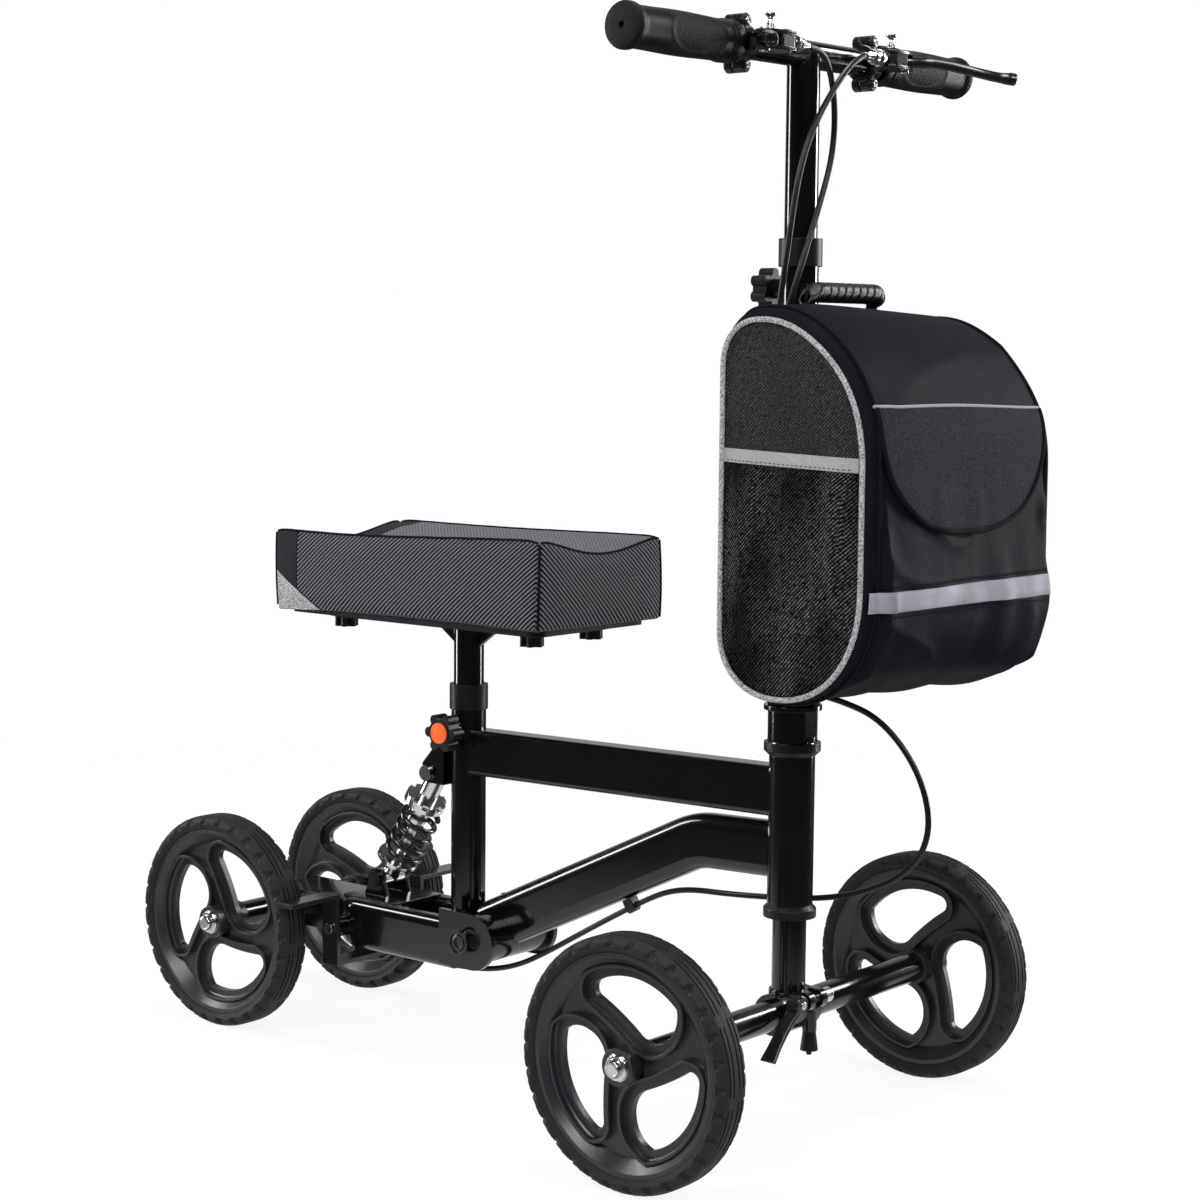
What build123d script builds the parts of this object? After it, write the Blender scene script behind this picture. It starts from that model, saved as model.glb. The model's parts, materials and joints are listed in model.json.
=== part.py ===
"""Knee scooter: four wheels, steered front axle, folding column, sprung rear arm, knee pad, bag.

Millimetres, +X forward, +Y left, +Z up. The model is laid out with the rear axle at x = 0 and the
floor at z = 0, and every piece is moved by -X_CENTRE as it is written, so that the origin of the
finished part is the bottom centre of its box.
"""

from build123d import *
from math import cos, hypot, radians, sin, tan
import os

# ---------------------------------------------------------------- driving dimensions
WHEELBASE = 594.0
FRONT_TRACK = 412.0
REAR_TRACK = 187.0
TYRE_R = 101.0
SEAT_TUBE_X = 231.0
HANDLEBAR_Z = 883.5
PAD_TOP_Z = 478.0

# clearances
RUN = 0.05          # radial clearance of a running fit
SEAT = 0.02         # clearance of a welded or pressed seat
SOFT = 0.3          # gap beside a soft or curved face
AXIAL = 0.3         # end float of a turning piece

# wheels
TYRE_WIDTH = 33.2
TREAD_HALF = 10.0
TREAD_EDGE_DROP = 1.6
SHOULDER_DROP = 5.0
SIDEWALL_INSET = 1.6
GROOVE_WIDTH = 1.6
GROOVE_DEPTH = 1.5
GROOVE_PLACES = (-7.6, -2.6, 2.6, 7.6)
RIM_R = 88.0
RIM_WIDTH = 26.0
RIM_WALL = 4.0
DISH_R = 74.0
WEB = 6.0
RIB_HALF = 9.0
RIB_WALL = 2.4
PAN_MARGIN = 8.6
RIB_REACH = 80.0
WINDOW_R = 68.0
HUB_R = 15.0
HUB_LENGTH = 36.0
HUB_BORE_R = 9.0
# window outline, five arcs end to end: share of the way from the hub to WINDOW_R, and angle in
# degrees, for the tip, the rim, the heel, the waist and the spoke
WINDOW_OUTLINE = (
    (0.81, 4.6), (0.93, 3.6), (1.0, -2.0), (1.0, -37.0), (1.0, -72.0),
    (0.80, -81.0), (0.52, -85.8), (0.26, -79.6), (0.19, -43.6), (0.43, -12.6),
)
WINDOWS = 3
BEARING_R = 11.0
BEARING_BORE_R = 4.0
BEARING_WIDTH = 7.0
AXLE_BOLT_R = 3.97
AXLE_BOLT_GRIP = 24.0
AXLE_WASHER_R = 9.0
AXLE_WASHER = 1.5
AXLE_HEAD_R = 6.6
AXLE_HEAD = 5.6
AXLE_TUBE_R = 12.7
AXLE_TUBE_WALL = 2.5
AXLE_PLUG = 26.0
# each wheel stands at its own angle, in degrees about its axle
WHEEL_TURN = {"front_right": 0.0, "front_left": 50.0, "rear_right": -31.0, "rear_left": 13.0}
# the side that the moulding's face is turned to; it is the same on both faces, so the spokes of
# the front left wheel sweep the other way
WHEEL_FACE = {"front_right": -1, "front_left": 1, "rear_right": -1, "rear_left": -1}

# frame
HEAD_R = 19.0
HEAD_WALL = 2.0
HEAD_BOTTOM_Z = 192.0
HEAD_TOP_Z = 316.0
CUP_R = 23.5
CUP_HEIGHT = 11.0
CUP_FLOOR = 2.0
CUP_SPIGOT = 10.0
CUP_CHAMFER = 4.0
HEADSET_BEARING_R = 19.4
LOWER_CUP_R = 22.0
STEERER_R = 14.1
STEERER_WALL = 2.3
STEERER_BOTTOM_Z = 114.5
STEERER_TOP_Z = 348.0
SEAT_TUBE_R = 15.9
SEAT_TUBE_BOTTOM_Z = 97.0
SEAT_TUBE_TOP_Z = 322.0
SEAT_COLLAR_R = 17.6
SEAT_COLLAR_BOTTOM_Z = 318.0
SEAT_COLLAR_TOP_Z = 341.0
TOP_TUBE_WIDTH = 25.0
TOP_TUBE_HEIGHT = 42.0
TOP_TUBE_CORNER = 5.0
TOP_TUBE_REAR_Z = 279.0
TOP_TUBE_FRONT_Z = 285.0
FRAME_TUBE_WALL = 2.2
LOWER_TUBE_WIDTH = 28.0
LOWER_TUBE_HEIGHT = 47.0
LOWER_TUBE_CORNER = 12.0
LOWER_TUBE_REAR = (262.0, 119.0)
LOWER_TUBE_BEND = (500.0, 232.5)
LOWER_TUBE_FRONT_Z = 235.5
LOWER_TUBE_BEND_R = 70.0

# rear arm
PIVOT_X = 276.0
PIVOT_Z = 114.0
BARREL_R = 21.0
BARREL_HALF = 39.6
BUSH_R = 12.0
BUSH_LENGTH = 15.0
PIVOT_BOLT_R = 6.0
PIVOT_HEAD_R = 11.6
ARM_PLATE = 5.0
ARM_PLATE_R = 25.5
ARM_PLATE_REAR_X = 236.0
ARM_HALF_WIDTH = 42.0
ARM_TUBE_WIDTH = 22.0
ARM_CORNER = 9.0
ARM_BOTTOM_Z = 83.0
ARM_TOP_Z = 129.0
ARM_REAR_X = 88.0
ARM_FRONT_X = 246.0
ARM_BEND_R = 34.0
ARM_DECK = 3.0
ARM_DECK_FRONT_X = 168.0
CARRIER_HALF = 27.0
CARRIER_TOP_Z = 124.0
CARRIER_BOTTOM_Z = 90.0

# shock absorber, between an eye on the seat tube and an eye on the arm
SHOCK_TOP = (195.0, 256.0)
SHOCK_FOOT = (128.5, 147.0)
EYE_R = 9.0
EYE_HALF = 12.6
SHOCK_BOLT_R = 4.0
SHOCK_HEAD_R = 7.0
LOOP_CLEARANCE = 0.5
BRACKET_PLATE = 4.0
BRACKET_ABOVE = 27.0
BRACKET_BELOW = 9.5
BRACKET_STEP = 10.0
BRACKET_LIP = 8.0
BRACKET_INNER = 13.0
SHOCK_BARREL_R = 9.5
SHOCK_BARREL_END = 59.0
SHOCK_ROD_R = 5.0
SHOCK_ROD_TOP = 50.0
RING_R = 19.6
RING_TOP = 32.0
RING_BOTTOM = 40.0
RING_NOTCHES = 8
RING_NOTCH = 6.0
PERCH_TOP = 103.5
PERCH = 4.0
SPRING_R = 16.8
SPRING_WIRE_R = 2.8
SPRING_TURNS = 4.2

# rear brake yoke, a bent flat bar hung on the arm
YOKE_X = 108.0
YOKE_WIDTH = 20.0
YOKE_BAR = 4.0
YOKE_PIVOT_Z = 103.0
YOKE_BOTTOM_Z = 70.0
YOKE_TOP_Z = 134.0
YOKE_STRIP_Y = 56.0
YOKE_SHOE_Y = 116.0
YOKE_BOLT_R = 4.0
YOKE_HEAD_R = 5.2
YOKE_HEAD = 2.6
YOKE_LUG_R = 10.0
YOKE_ANCHOR = 8.0

# front axle clamp and its quick release
CLAMP_R = 17.5
CLAMP_HALF = 24.0
CLAMP_BOSS_R = 16.8
TOOTH_RING_Z = 113.0
TOOTH_RING_R = 16.4
TOOTH_RING = 6.0
TEETH = 12
TOOTH_GAP = 3.6
EAR_X = 618.0
EAR_Z = 114.0
EAR_R = 8.0
EAR_INNER = 5.0
EAR_OUTER = 12.0
SKEWER_R = 3.0
SKEWER_NUT_R = 6.3
SKEWER_NUT = 11.0
CAM_R = 8.0
CAM_HALF = 6.0
LEVER_REACH = 42.0
LEVER_THICK = 4.0
PLUNGER_X = 609.0
PLUNGER_Y = 10.0
PLUNGER_R = 7.6
PLUNGER_KNOB = 16.0
PLUNGER_ROD_R = 2.5
PLUNGER_BOSS_R = 6.0
PLUNGER_SEAT_Z = 84.0

# folding joint of the column
FOLD_Z = 368.0
FOLD_BASE_R = 20.5
FOLD_BASE_BOTTOM_Z = 328.0
FOLD_FLANGE_R = 24.0
FOLD_FLANGE_Z = 358.0
FOLD_FLANGE = 4.0
FOLD_FACET = 2.0
CHEEK_INNER = 11.3
CHEEK_OUTER = 19.0
CHEEK_R = 12.0
TONGUE_R = 9.6
TONGUE_HALF = 12.5
TONGUE_SHOULDER = 6.0
FOLD_PIN_R = 4.0
FOLD_PIN_HALF = 26.0
FOLD_HEAD_R = 7.5
FOLD_SOCKET_R = 19.4
FOLD_SOCKET_RISE = 16.0
FOLD_SOCKET = 38.0
FOLD_LEVER_REACH = 60.0

# column, handlebar and height lock
COLUMN_R = 15.0
POST_R = 13.5
COLUMN_TOP_Z = 737.0
HEIGHT_COLLAR_R = 17.75
HEIGHT_COLLAR = 22.5
POST_WALL = 2.0
POST_BOTTOM_Z = 518.0
BAR_R = 11.1
BAR_HALF = 226.0
BAR_WALL = 2.0
KNOB_Z = 697.0
KNOB_R = 17.0
KNOB_LOBES = 6
KNOB_DEPTH = 14.0
KNOB_CAP_R = 7.5
KNOB_CAP = 3.0
KNOB_SCREW_R = 4.0
KNOB_BOSS_R = 8.0
KNOB_BOSS = 9.0
GRIP_R = 16.5
GRIP_END_R = 18.0
GRIP_END = 9.0
GRIP_INNER_Y = 98.0
GRIP_OUTER_Y = 230.0
GRIP_RING = 16.0

# brake levers, mirrored left and right of the stem
LEVER_CLAMP_Y = 88.0
LEVER_CLAMP_WIDTH = 14.0
LEVER_CLAMP_R = 15.0
LEVER_EAR = 20.0
LEVER_EAR_THICK = 7.0
LEVER_PIVOT_X = 626.0
LEVER_PIVOT_Y = 97.0
LEVER_PIVOT_R = 3.0
LEVER_BODY_X0 = 612.0
LEVER_BODY_X1 = 637.0
LEVER_BODY_IN_Y = 66.0
LEVER_BODY_OUT_Y = 105.0
LEVER_BODY_HALF = 7.5
LEVER_SLOT_HALF = 4.3
LEVER_SLOT_Y = 88.0
LEVER_BLADE_HALF = 4.0
LEVER_BLADE_TIP = (685.0, 170.0)
LEVER_BLADE_WIDTH = 9.0
LEVER_BLADE_FLAT = 20.0
LEVER_BLADE_DROP = 11.5
ADJUSTER_R = 4.6
ADJUSTER_END_Y = 40.0
PARK_PIN_X = 622.0
PARK_PIN_Y = 84.0
PARK_PIN_R = 2.4
PARK_PIN_HEAD_R = 4.4
PARK_PIN_RISE = 21.5
PARK_PIN_HEAD = 3.0
PARK_PIN_GAP = 0.5
PARK_PIN_TRAVEL = 4.0

# knee pad
PAD_REAR_X = 62.0
PAD_FRONT_X = 389.0
PAD_WIDTH = 166.0
PAD_BOTTOM_Z = 406.6
PAD_DIP = 13.0
PAD_SHOULDER = 22.0
PAD_EDGE_R = 5.0
BOARD = 5.0
BOARD_INSET = 9.0
BOARD_CORNER = 12.0
SEAT_PLATE = 4.0
SEAT_PLATE_LENGTH = 262.0
SEAT_PLATE_WIDTH = 104.0
SEAT_PLATE_CORNER = 12.0
SEAT_POST_R = 13.75
SEAT_POST_WALL = 2.2
SEAT_POST_BOTTOM_Z = 170.0
GUSSET = 4.0
GUSSET_REACH = 24.0
GUSSET_DROP = 22.0
GUSSET_TOE = 5.0
PAD_KNOB_X = (113.0, 343.0)
PAD_KNOB_Y = 40.0
PAD_KNOB_R = 11.0
PAD_KNOB_DEPTH = 9.0
PAD_KNOB_LOBES = 6
PAD_STUD_R = 3.0
SEAT_KNOB_Z = 299.0
SEAT_KNOB_R = 18.0

# bag on the front of the column
BAG_BACK_GAP = 0.3
BAG_DEPTH = 137.7
BAG_HALF_WIDTH = 133.5
BAG_BOTTOM_Z = 379.0
BAG_TOP_Z = 671.0
BAG_BACK_TOP_R = 38.0
BAG_FRONT_TOP_R = 98.0
BAG_FRONT_LOW_R = 79.0
BAG_BACK_LOW_R = 45.0
BAG_EDGE_R = 9.0
BAG_HANDLE_X = 636.0
BAG_HANDLE_Z = 693.0
BAG_HANDLE_R = 8.5
BAG_HANDLE_HALF = 52.0
BAG_HANDLE_LEG = 12.0
BAG_HANDLE_LEG_THICK = 5.0

# cables
CABLE_R = 2.5
JOINER_R = 7.0
JOINER_X = 602.0
JOINER_Y = -38.0
JOINER_TOP_Z = 580.0
JOINER_BOTTOM_Z = 545.0
JOINER_SPREAD = 3.6
CLIP_WALL = 2.0
CLIP_LENGTH = 10.0
CLIP_RISE = 7.8

# ---------------------------------------------------------------- derived places
STEER_X = WHEELBASE
REAR_Y = REAR_TRACK / 2
FRONT_Y = FRONT_TRACK / 2
BAG_BACK_X = STEER_X + FOLD_SOCKET_R + BAG_BACK_GAP
BAG_FRONT_X = BAG_BACK_X + BAG_DEPTH
X_CENTRE = (BAG_FRONT_X - TYRE_R) / 2
SEAT_PLATE_TOP_Z = PAD_BOTTOM_Z - SOFT - BOARD
SEAT_PLATE_BOTTOM_Z = SEAT_PLATE_TOP_Z - SEAT_PLATE
BOTTOM = (Align.CENTER, Align.CENTER, Align.MIN)


# ---------------------------------------------------------------- small helpers
def rod(radius, start, end):
    """A cylinder from one point to another."""
    along = Vector(end) - Vector(start)
    return Plane(start, z_dir=along) * Cylinder(radius, along.length, align=BOTTOM)


def tube(outer, inner, start, end):
    """A cylinder with a round hole right through it."""
    return rod(outer, start, end) - rod(inner, start, end)


def block(x0, x1, y0, y1, z0, z1):
    """A box between three pairs of planes."""
    centre = ((x0 + x1) / 2, (y0 + y1) / 2, (z0 + z1) / 2)
    return Pos(*centre) * Box(x1 - x0, y1 - y0, z1 - z0)


def side_plate(outline, y0, y1):
    """A face drawn in x and z, made solid from y0 to y1."""
    face = Plane((0, y0, 0), x_dir=(1, 0, 0), z_dir=(0, -1, 0)) * outline
    return extrude(face, amount=y1 - y0, dir=(0, 1, 0))


def polygon(*points):
    """A face inside straight edges."""
    return make_face(Polyline(*points, close=True))


def disc_at(radius, x, z):
    """A round face at x, z of a side plate's plane."""
    return Pos(x, z) * Circle(radius)


def turned(*points):
    """A solid turned about Z from its outline in radius and height."""
    return revolve(Plane.XZ * polygon(*points), Axis.Z)


def group(*pieces):
    """Separate solids written to one file."""
    solids = []
    for piece in pieces:
        solids += piece.solids()
    return Compound(solids)


def mirrored(piece):
    """The piece and its mirror image in the middle plane."""
    return group(piece, mirror(piece, Plane.XZ))


def ring_of(count, make):
    """The union of copies made at equal angles about Z."""
    result = make(0.0)
    for step in range(1, count):
        result = result + make(360.0 * step / count)
    return result


def star_knob(radius, depth, lobes):
    """A lobed knob on Z, its back on z = 0."""
    core = Circle(radius * 0.72)
    lobe_r = radius * 0.26
    for step in range(lobes):
        angle = radians(360.0 * step / lobes)
        reach = radius - lobe_r
        core = core + Pos(reach * cos(angle), reach * sin(angle)) * Circle(lobe_r)
    return extrude(core, amount=depth)


def cable(points):
    """A round cable through the points of its route, and the radii of its bends."""
    points = [Vector(*p) for p in points]
    radii = []
    for before, here, after in zip(points, points[1:], points[2:]):
        turn = radians((here - before).get_angle(after - here))
        shorter = min((here - before).length, (after - here).length)
        radii.append(0.45 * shorter / tan(turn / 2))
    line = FilletPolyline(*points, radius=radii)
    start = Plane(points[0], z_dir=points[1] - points[0])
    solid = sweep(start * Circle(CABLE_R), path=line)
    want = 3.14159265 * CABLE_R**2 * line.length
    print("cable", round(line.length), "mm, volume ratio", round(solid.volume / want, 4))
    print("  radii", [round(r) for r in radii])
    return solid


# ---------------------------------------------------------------- wheels
def polar(share, angle):
    """A point of the window outline."""
    reach = HUB_R + share * (WINDOW_R - HUB_R)
    return reach * cos(radians(angle)), reach * sin(radians(angle))


def window_face():
    """One comma-shaped opening of the wheel."""
    points = [polar(*point) for point in WINDOW_OUTLINE]
    points.append(points[0])
    edges = []
    for start in range(0, len(WINDOW_OUTLINE), 2):
        edges.append(ThreePointArc(*points[start:start + 3]))
    return make_face(edges)


def rim():
    """Moulded wheel on Z: hub, web with three windows, curved ribs and tyre seat."""
    half = RIM_WIDTH / 2
    web = WEB / 2
    lip = RIM_R - RIM_WALL
    seat = BEARING_R + RUN
    seat_end = HUB_LENGTH / 2 - BEARING_WIDTH - AXIAL
    body = turned(
        (HUB_BORE_R, -web), (DISH_R, -web), (lip, -half), (RIM_R, -half),
        (RIM_R, half), (lip, half), (DISH_R, web), (HUB_BORE_R, web),
    )
    opening = window_face()
    pan = offset(opening, PAN_MARGIN - RIB_WALL / 2)
    ridge = offset(opening, PAN_MARGIN + RIB_WALL / 2)
    ribs = Sketch()
    pans = Sketch()
    openings = Sketch()
    for step in range(WINDOWS):
        turn = Rot(0, 0, 360.0 * step / WINDOWS)
        ribs += turn * ridge
        pans += turn * pan
        openings += turn * opening
    ribs = (ribs - pans) & Circle(RIB_REACH)
    body = body + extrude(ribs, amount=RIB_HALF, both=True)
    body = body - extrude(openings, amount=half, both=True)
    end = HUB_LENGTH / 2
    body = body + rod(HUB_R, (0, 0, -end), (0, 0, end))
    body = body - rod(HUB_BORE_R, (0, 0, -end), (0, 0, end))
    for side in (-1, 1):
        body = body - rod(seat, (0, 0, side * seat_end), (0, 0, side * end))
    return body


def tyre():
    """Solid tyre on Z with grooves round its tread."""
    half = TYRE_WIDTH / 2
    bore = RIM_R + SEAT
    foot = RIM_WIDTH / 2
    right = [(bore, foot), (bore + 2.0, half - SIDEWALL_INSET), (TYRE_R - SHOULDER_DROP, half)]
    right += [(TYRE_R - TREAD_EDGE_DROP, half - 2.6), (TYRE_R, TREAD_HALF)]
    left = [(r, -z) for r, z in reversed(right)]
    floor = TYRE_R - GROOVE_DEPTH
    tread = []
    for place in reversed(GROOVE_PLACES):
        top, low = place + GROOVE_WIDTH / 2, place - GROOVE_WIDTH / 2
        tread += [(TYRE_R, top), (floor, top), (floor, low), (TYRE_R, low)]
    return turned(*right, *tread, *left)


def bearing(y_side, x, y, z):
    """One sealed ball bearing, seen as a ring, at one end of a hub."""
    outer = y + y_side * HUB_LENGTH / 2
    inner = outer - y_side * BEARING_WIDTH
    return tube(BEARING_R, BEARING_BORE_R, (x, inner, z), (x, outer, z))


def wheel_bearings(x, y):
    """The four bearings of one axle."""
    rings = []
    for hub_y in (-y, y):
        for side in (-1, 1):
            rings.append(bearing(side, x, hub_y, TYRE_R))
    return group(*rings)


def axle_bolts(x, y):
    """The two wheel bolts of one axle, each with its washer."""
    end = y + HUB_LENGTH / 2 + AXIAL
    start = y - HUB_LENGTH / 2 - AXLE_BOLT_GRIP
    washer_end = end + AXLE_WASHER
    shank = rod(AXLE_BOLT_R, (x, start, TYRE_R), (x, washer_end, TYRE_R))
    head = rod(AXLE_HEAD_R, (x, washer_end, TYRE_R), (x, washer_end + AXLE_HEAD, TYRE_R))
    head = fillet(head.edges().group_by(Axis.Y)[-1], AXLE_HEAD * 0.4)
    washer = rod(AXLE_WASHER_R, (x, end, TYRE_R), (x, washer_end, TYRE_R))
    return mirrored(shank + head + washer)


def axle_tube(x, y):
    """A round axle with solid ends, drilled for the wheel bolts."""
    end = y - HUB_LENGTH / 2 - AXIAL
    bar = rod(AXLE_TUBE_R, (x, -end, TYRE_R), (x, end, TYRE_R))
    hollow = end - AXLE_PLUG
    bar = bar - rod(AXLE_TUBE_R - AXLE_TUBE_WALL, (x, -hollow, TYRE_R), (x, hollow, TYRE_R))
    return bar - rod(AXLE_BOLT_R + SEAT, (x, -end, TYRE_R), (x, end, TYRE_R))


def placed_wheel(piece, name):
    """A wheel piece on its axle, outer face outwards."""
    side = -1 if name.endswith("right") else 1
    x = STEER_X if name.startswith("front") else 0.0
    y = FRONT_Y if name.startswith("front") else REAR_Y
    spun = Rot(0, 0, WHEEL_TURN[name]) * piece
    return Pos(x, side * y, TYRE_R) * Rot(-90 * WHEEL_FACE[name], 0, 0) * spun


# ---------------------------------------------------------------- frame
def rounded_bar(width, height, corner, path, wall):
    """A rounded rectangular tube along a path in the middle plane."""
    start = path @ 0
    plane = Plane(start, x_dir=(0, 1, 0), z_dir=path % 0)
    outer = sweep(plane * RectangleRounded(width, height, corner), path=path)
    inner_corner = corner - wall
    hole = RectangleRounded(width - 2 * wall, height - 2 * wall, inner_corner)
    return outer - sweep(plane * hole, path=path)


def head_tube():
    """Steering head."""
    ends = (STEER_X, 0, HEAD_BOTTOM_Z), (STEER_X, 0, HEAD_TOP_Z)
    return tube(HEAD_R, HEAD_R - HEAD_WALL, *ends)


def seat_tube():
    """Upright that takes the seat post, with the threaded boss of its knob."""
    bottom, top = (SEAT_TUBE_X, 0, SEAT_TUBE_BOTTOM_Z), (SEAT_TUBE_X, 0, SEAT_TUBE_TOP_Z)
    boss_end = -(SEAT_TUBE_R + KNOB_BOSS)
    boss = rod(KNOB_BOSS_R, (SEAT_TUBE_X, 0, SEAT_KNOB_Z), (SEAT_TUBE_X, boss_end, SEAT_KNOB_Z))
    body = rod(SEAT_TUBE_R, bottom, top) + boss
    body = body - rod(SEAT_POST_R + RUN, bottom, top)
    thread = (SEAT_TUBE_X, 0, SEAT_KNOB_Z), (SEAT_TUBE_X, boss_end, SEAT_KNOB_Z)
    return body - rod(KNOB_SCREW_R + RUN, *thread)


def cut_for(radius, x):
    """The space of an upright tube, for a saddle cut."""
    return rod(radius + SEAT, (x, 0, 0), (x, 0, HANDLEBAR_Z))


def top_tube():
    """Upper frame tube, from the seat tube to the head."""
    path = Line((SEAT_TUBE_X, 0, TOP_TUBE_REAR_Z), (STEER_X, 0, TOP_TUBE_FRONT_Z))
    bar = rounded_bar(TOP_TUBE_WIDTH, TOP_TUBE_HEIGHT, TOP_TUBE_CORNER, path, FRAME_TUBE_WALL)
    bar = bar - cut_for(SEAT_TUBE_R, SEAT_TUBE_X) - cut_for(HEAD_R, STEER_X)
    return bar.solids().sort_by(SortBy.VOLUME)[-1]


def lower_tube():
    """Lower frame tube, from the pivot up to its bend and on to the head."""
    rear = (LOWER_TUBE_REAR[0], 0, LOWER_TUBE_REAR[1])
    bend = (LOWER_TUBE_BEND[0], 0, LOWER_TUBE_BEND[1])
    front = (STEER_X, 0, LOWER_TUBE_FRONT_Z)
    path = FilletPolyline(rear, bend, front, radius=LOWER_TUBE_BEND_R)
    bar = rounded_bar(
        LOWER_TUBE_WIDTH, LOWER_TUBE_HEIGHT, LOWER_TUBE_CORNER, path, FRAME_TUBE_WALL
    )
    barrel = rod(
        BARREL_R + SEAT, (PIVOT_X, -BARREL_HALF, PIVOT_Z), (PIVOT_X, BARREL_HALF, PIVOT_Z)
    )
    bar = bar - cut_for(HEAD_R, STEER_X) - barrel - cut_for(SEAT_TUBE_R, SEAT_TUBE_X)
    return bar.solids().sort_by(SortBy.VOLUME)[-1]


def pivot_barrel():
    """Cross tube that carries the rear arm, with the web that joins it to the seat tube."""
    ends = (PIVOT_X, -BARREL_HALF, PIVOT_Z), (PIVOT_X, BARREL_HALF, PIVOT_Z)
    web_half = LOWER_TUBE_WIDTH / 2
    web = block(
        SEAT_TUBE_X, PIVOT_X, -web_half, web_half, SEAT_TUBE_BOTTOM_Z, PIVOT_Z + BARREL_R / 2
    )
    body = (rod(BARREL_R, *ends) + web) - cut_for(SEAT_TUBE_R, SEAT_TUBE_X)
    body = body.solids().sort_by(SortBy.VOLUME)[-1]
    body = body - rod(PIVOT_BOLT_R + 1.0, *ends)
    for side in (-1, 1):
        inner = side * (BARREL_HALF - BUSH_LENGTH)
        mouth = (PIVOT_X, side * BARREL_HALF, PIVOT_Z)
        body = body - rod(BUSH_R + SEAT, (PIVOT_X, inner, PIVOT_Z), mouth)
    return body


def headset_cup(face_z, up, radius):
    """One cup: a spigot in the head tube and a flanged shell round the bearing."""
    spigot = HEAD_R - HEAD_WALL - SEAT
    shaft = STEERER_R + 1.0
    shell = HEADSET_BEARING_R + SEAT
    cup = turned(
        (shaft, -CUP_SPIGOT), (spigot, -CUP_SPIGOT), (spigot, 0), (radius - CUP_CHAMFER, 0),
        (radius, CUP_CHAMFER), (radius, CUP_HEIGHT), (shell, CUP_HEIGHT), (shell, CUP_FLOOR),
        (shaft, CUP_FLOOR),
    )
    turn = Rot(0, 0, 0) if up else Rot(180, 0, 0)
    return Pos(STEER_X, 0, face_z) * turn * cup


def headset_cups():
    """Upper and lower cup of the steering head."""
    upper = headset_cup(HEAD_TOP_Z, True, CUP_R)
    lower = headset_cup(HEAD_BOTTOM_Z, False, LOWER_CUP_R)
    return group(upper, lower)


def frame_bearings():
    """The two steering bearings and the two bushes of the rear arm's pivot."""
    inner = STEERER_R + RUN
    height = CUP_HEIGHT - CUP_FLOOR
    upper_z = HEAD_TOP_Z + CUP_FLOOR
    lower_z = HEAD_BOTTOM_Z - CUP_FLOOR
    upper = tube(
        HEADSET_BEARING_R, inner, (STEER_X, 0, upper_z), (STEER_X, 0, upper_z + height + AXIAL)
    )
    lower = tube(HEADSET_BEARING_R - 1.0, inner, (STEER_X, 0, lower_z - height), (STEER_X, 0, lower_z))
    bush_start = (PIVOT_X, BARREL_HALF - BUSH_LENGTH, PIVOT_Z)
    bush = tube(BUSH_R, PIVOT_BOLT_R + RUN, bush_start, (PIVOT_X, BARREL_HALF, PIVOT_Z))
    return group(upper, lower, mirrored(bush))


def seat_collar():
    """Plastic collar over the mouth of the seat tube."""
    x = SEAT_TUBE_X
    body = rod(SEAT_COLLAR_R, (x, 0, SEAT_COLLAR_BOTTOM_Z), (x, 0, SEAT_COLLAR_TOP_Z))
    body = body - rod(SEAT_TUBE_R + SEAT, (x, 0, SEAT_COLLAR_BOTTOM_Z), (x, 0, SEAT_TUBE_TOP_Z))
    return body - rod(SEAT_POST_R + RUN, (x, 0, SEAT_TUBE_TOP_Z), (x, 0, SEAT_COLLAR_TOP_Z))


def shock_upper_bracket():
    """Forked bracket on the back of the seat tube for the top of the shock absorber."""
    back = SEAT_TUBE_X - SEAT_TUBE_R - SEAT
    x, z = SHOCK_TOP
    high, low = z + BRACKET_ABOVE, z - BRACKET_BELOW
    outline = polygon(
        (back, low), (back, high), (back - BRACKET_STEP, high), (x - EYE_R * 0.7, z + EYE_R),
        (x - EYE_R * 0.9, z - EYE_R * 0.45), (x, z - EYE_R), (back - BRACKET_LIP, low),
    )
    ear = make_face((outline + disc_at(EYE_R, x, z)).faces()[0].outer_wire())
    ear = ear - disc_at(SHOCK_BOLT_R + SEAT, x, z)
    slot = polygon((x + 6, z + 6), (x + 10, z - 7), (x + 10.5, z + 7))
    ear = ear - slot
    outer = BRACKET_INNER + BRACKET_PLATE
    ears = mirrored(side_plate(ear, BRACKET_INNER, outer))
    web = block(back - BRACKET_PLATE, back, -outer, outer, low, high)
    return (ears.solids()[0] + ears.solids()[1] + web).solid()


def bolt_along_y(radius, head_r, x, z, half, head):
    """A cross bolt with a round head and a nut, both sides of a fork."""
    shank = rod(radius, (x, -half, z), (x, half, z))
    left = rod(head_r, (x, half, z), (x, half + head, z))
    right = rod(head_r, (x, -half - head, z), (x, -half, z))
    return shank + left + right


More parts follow.
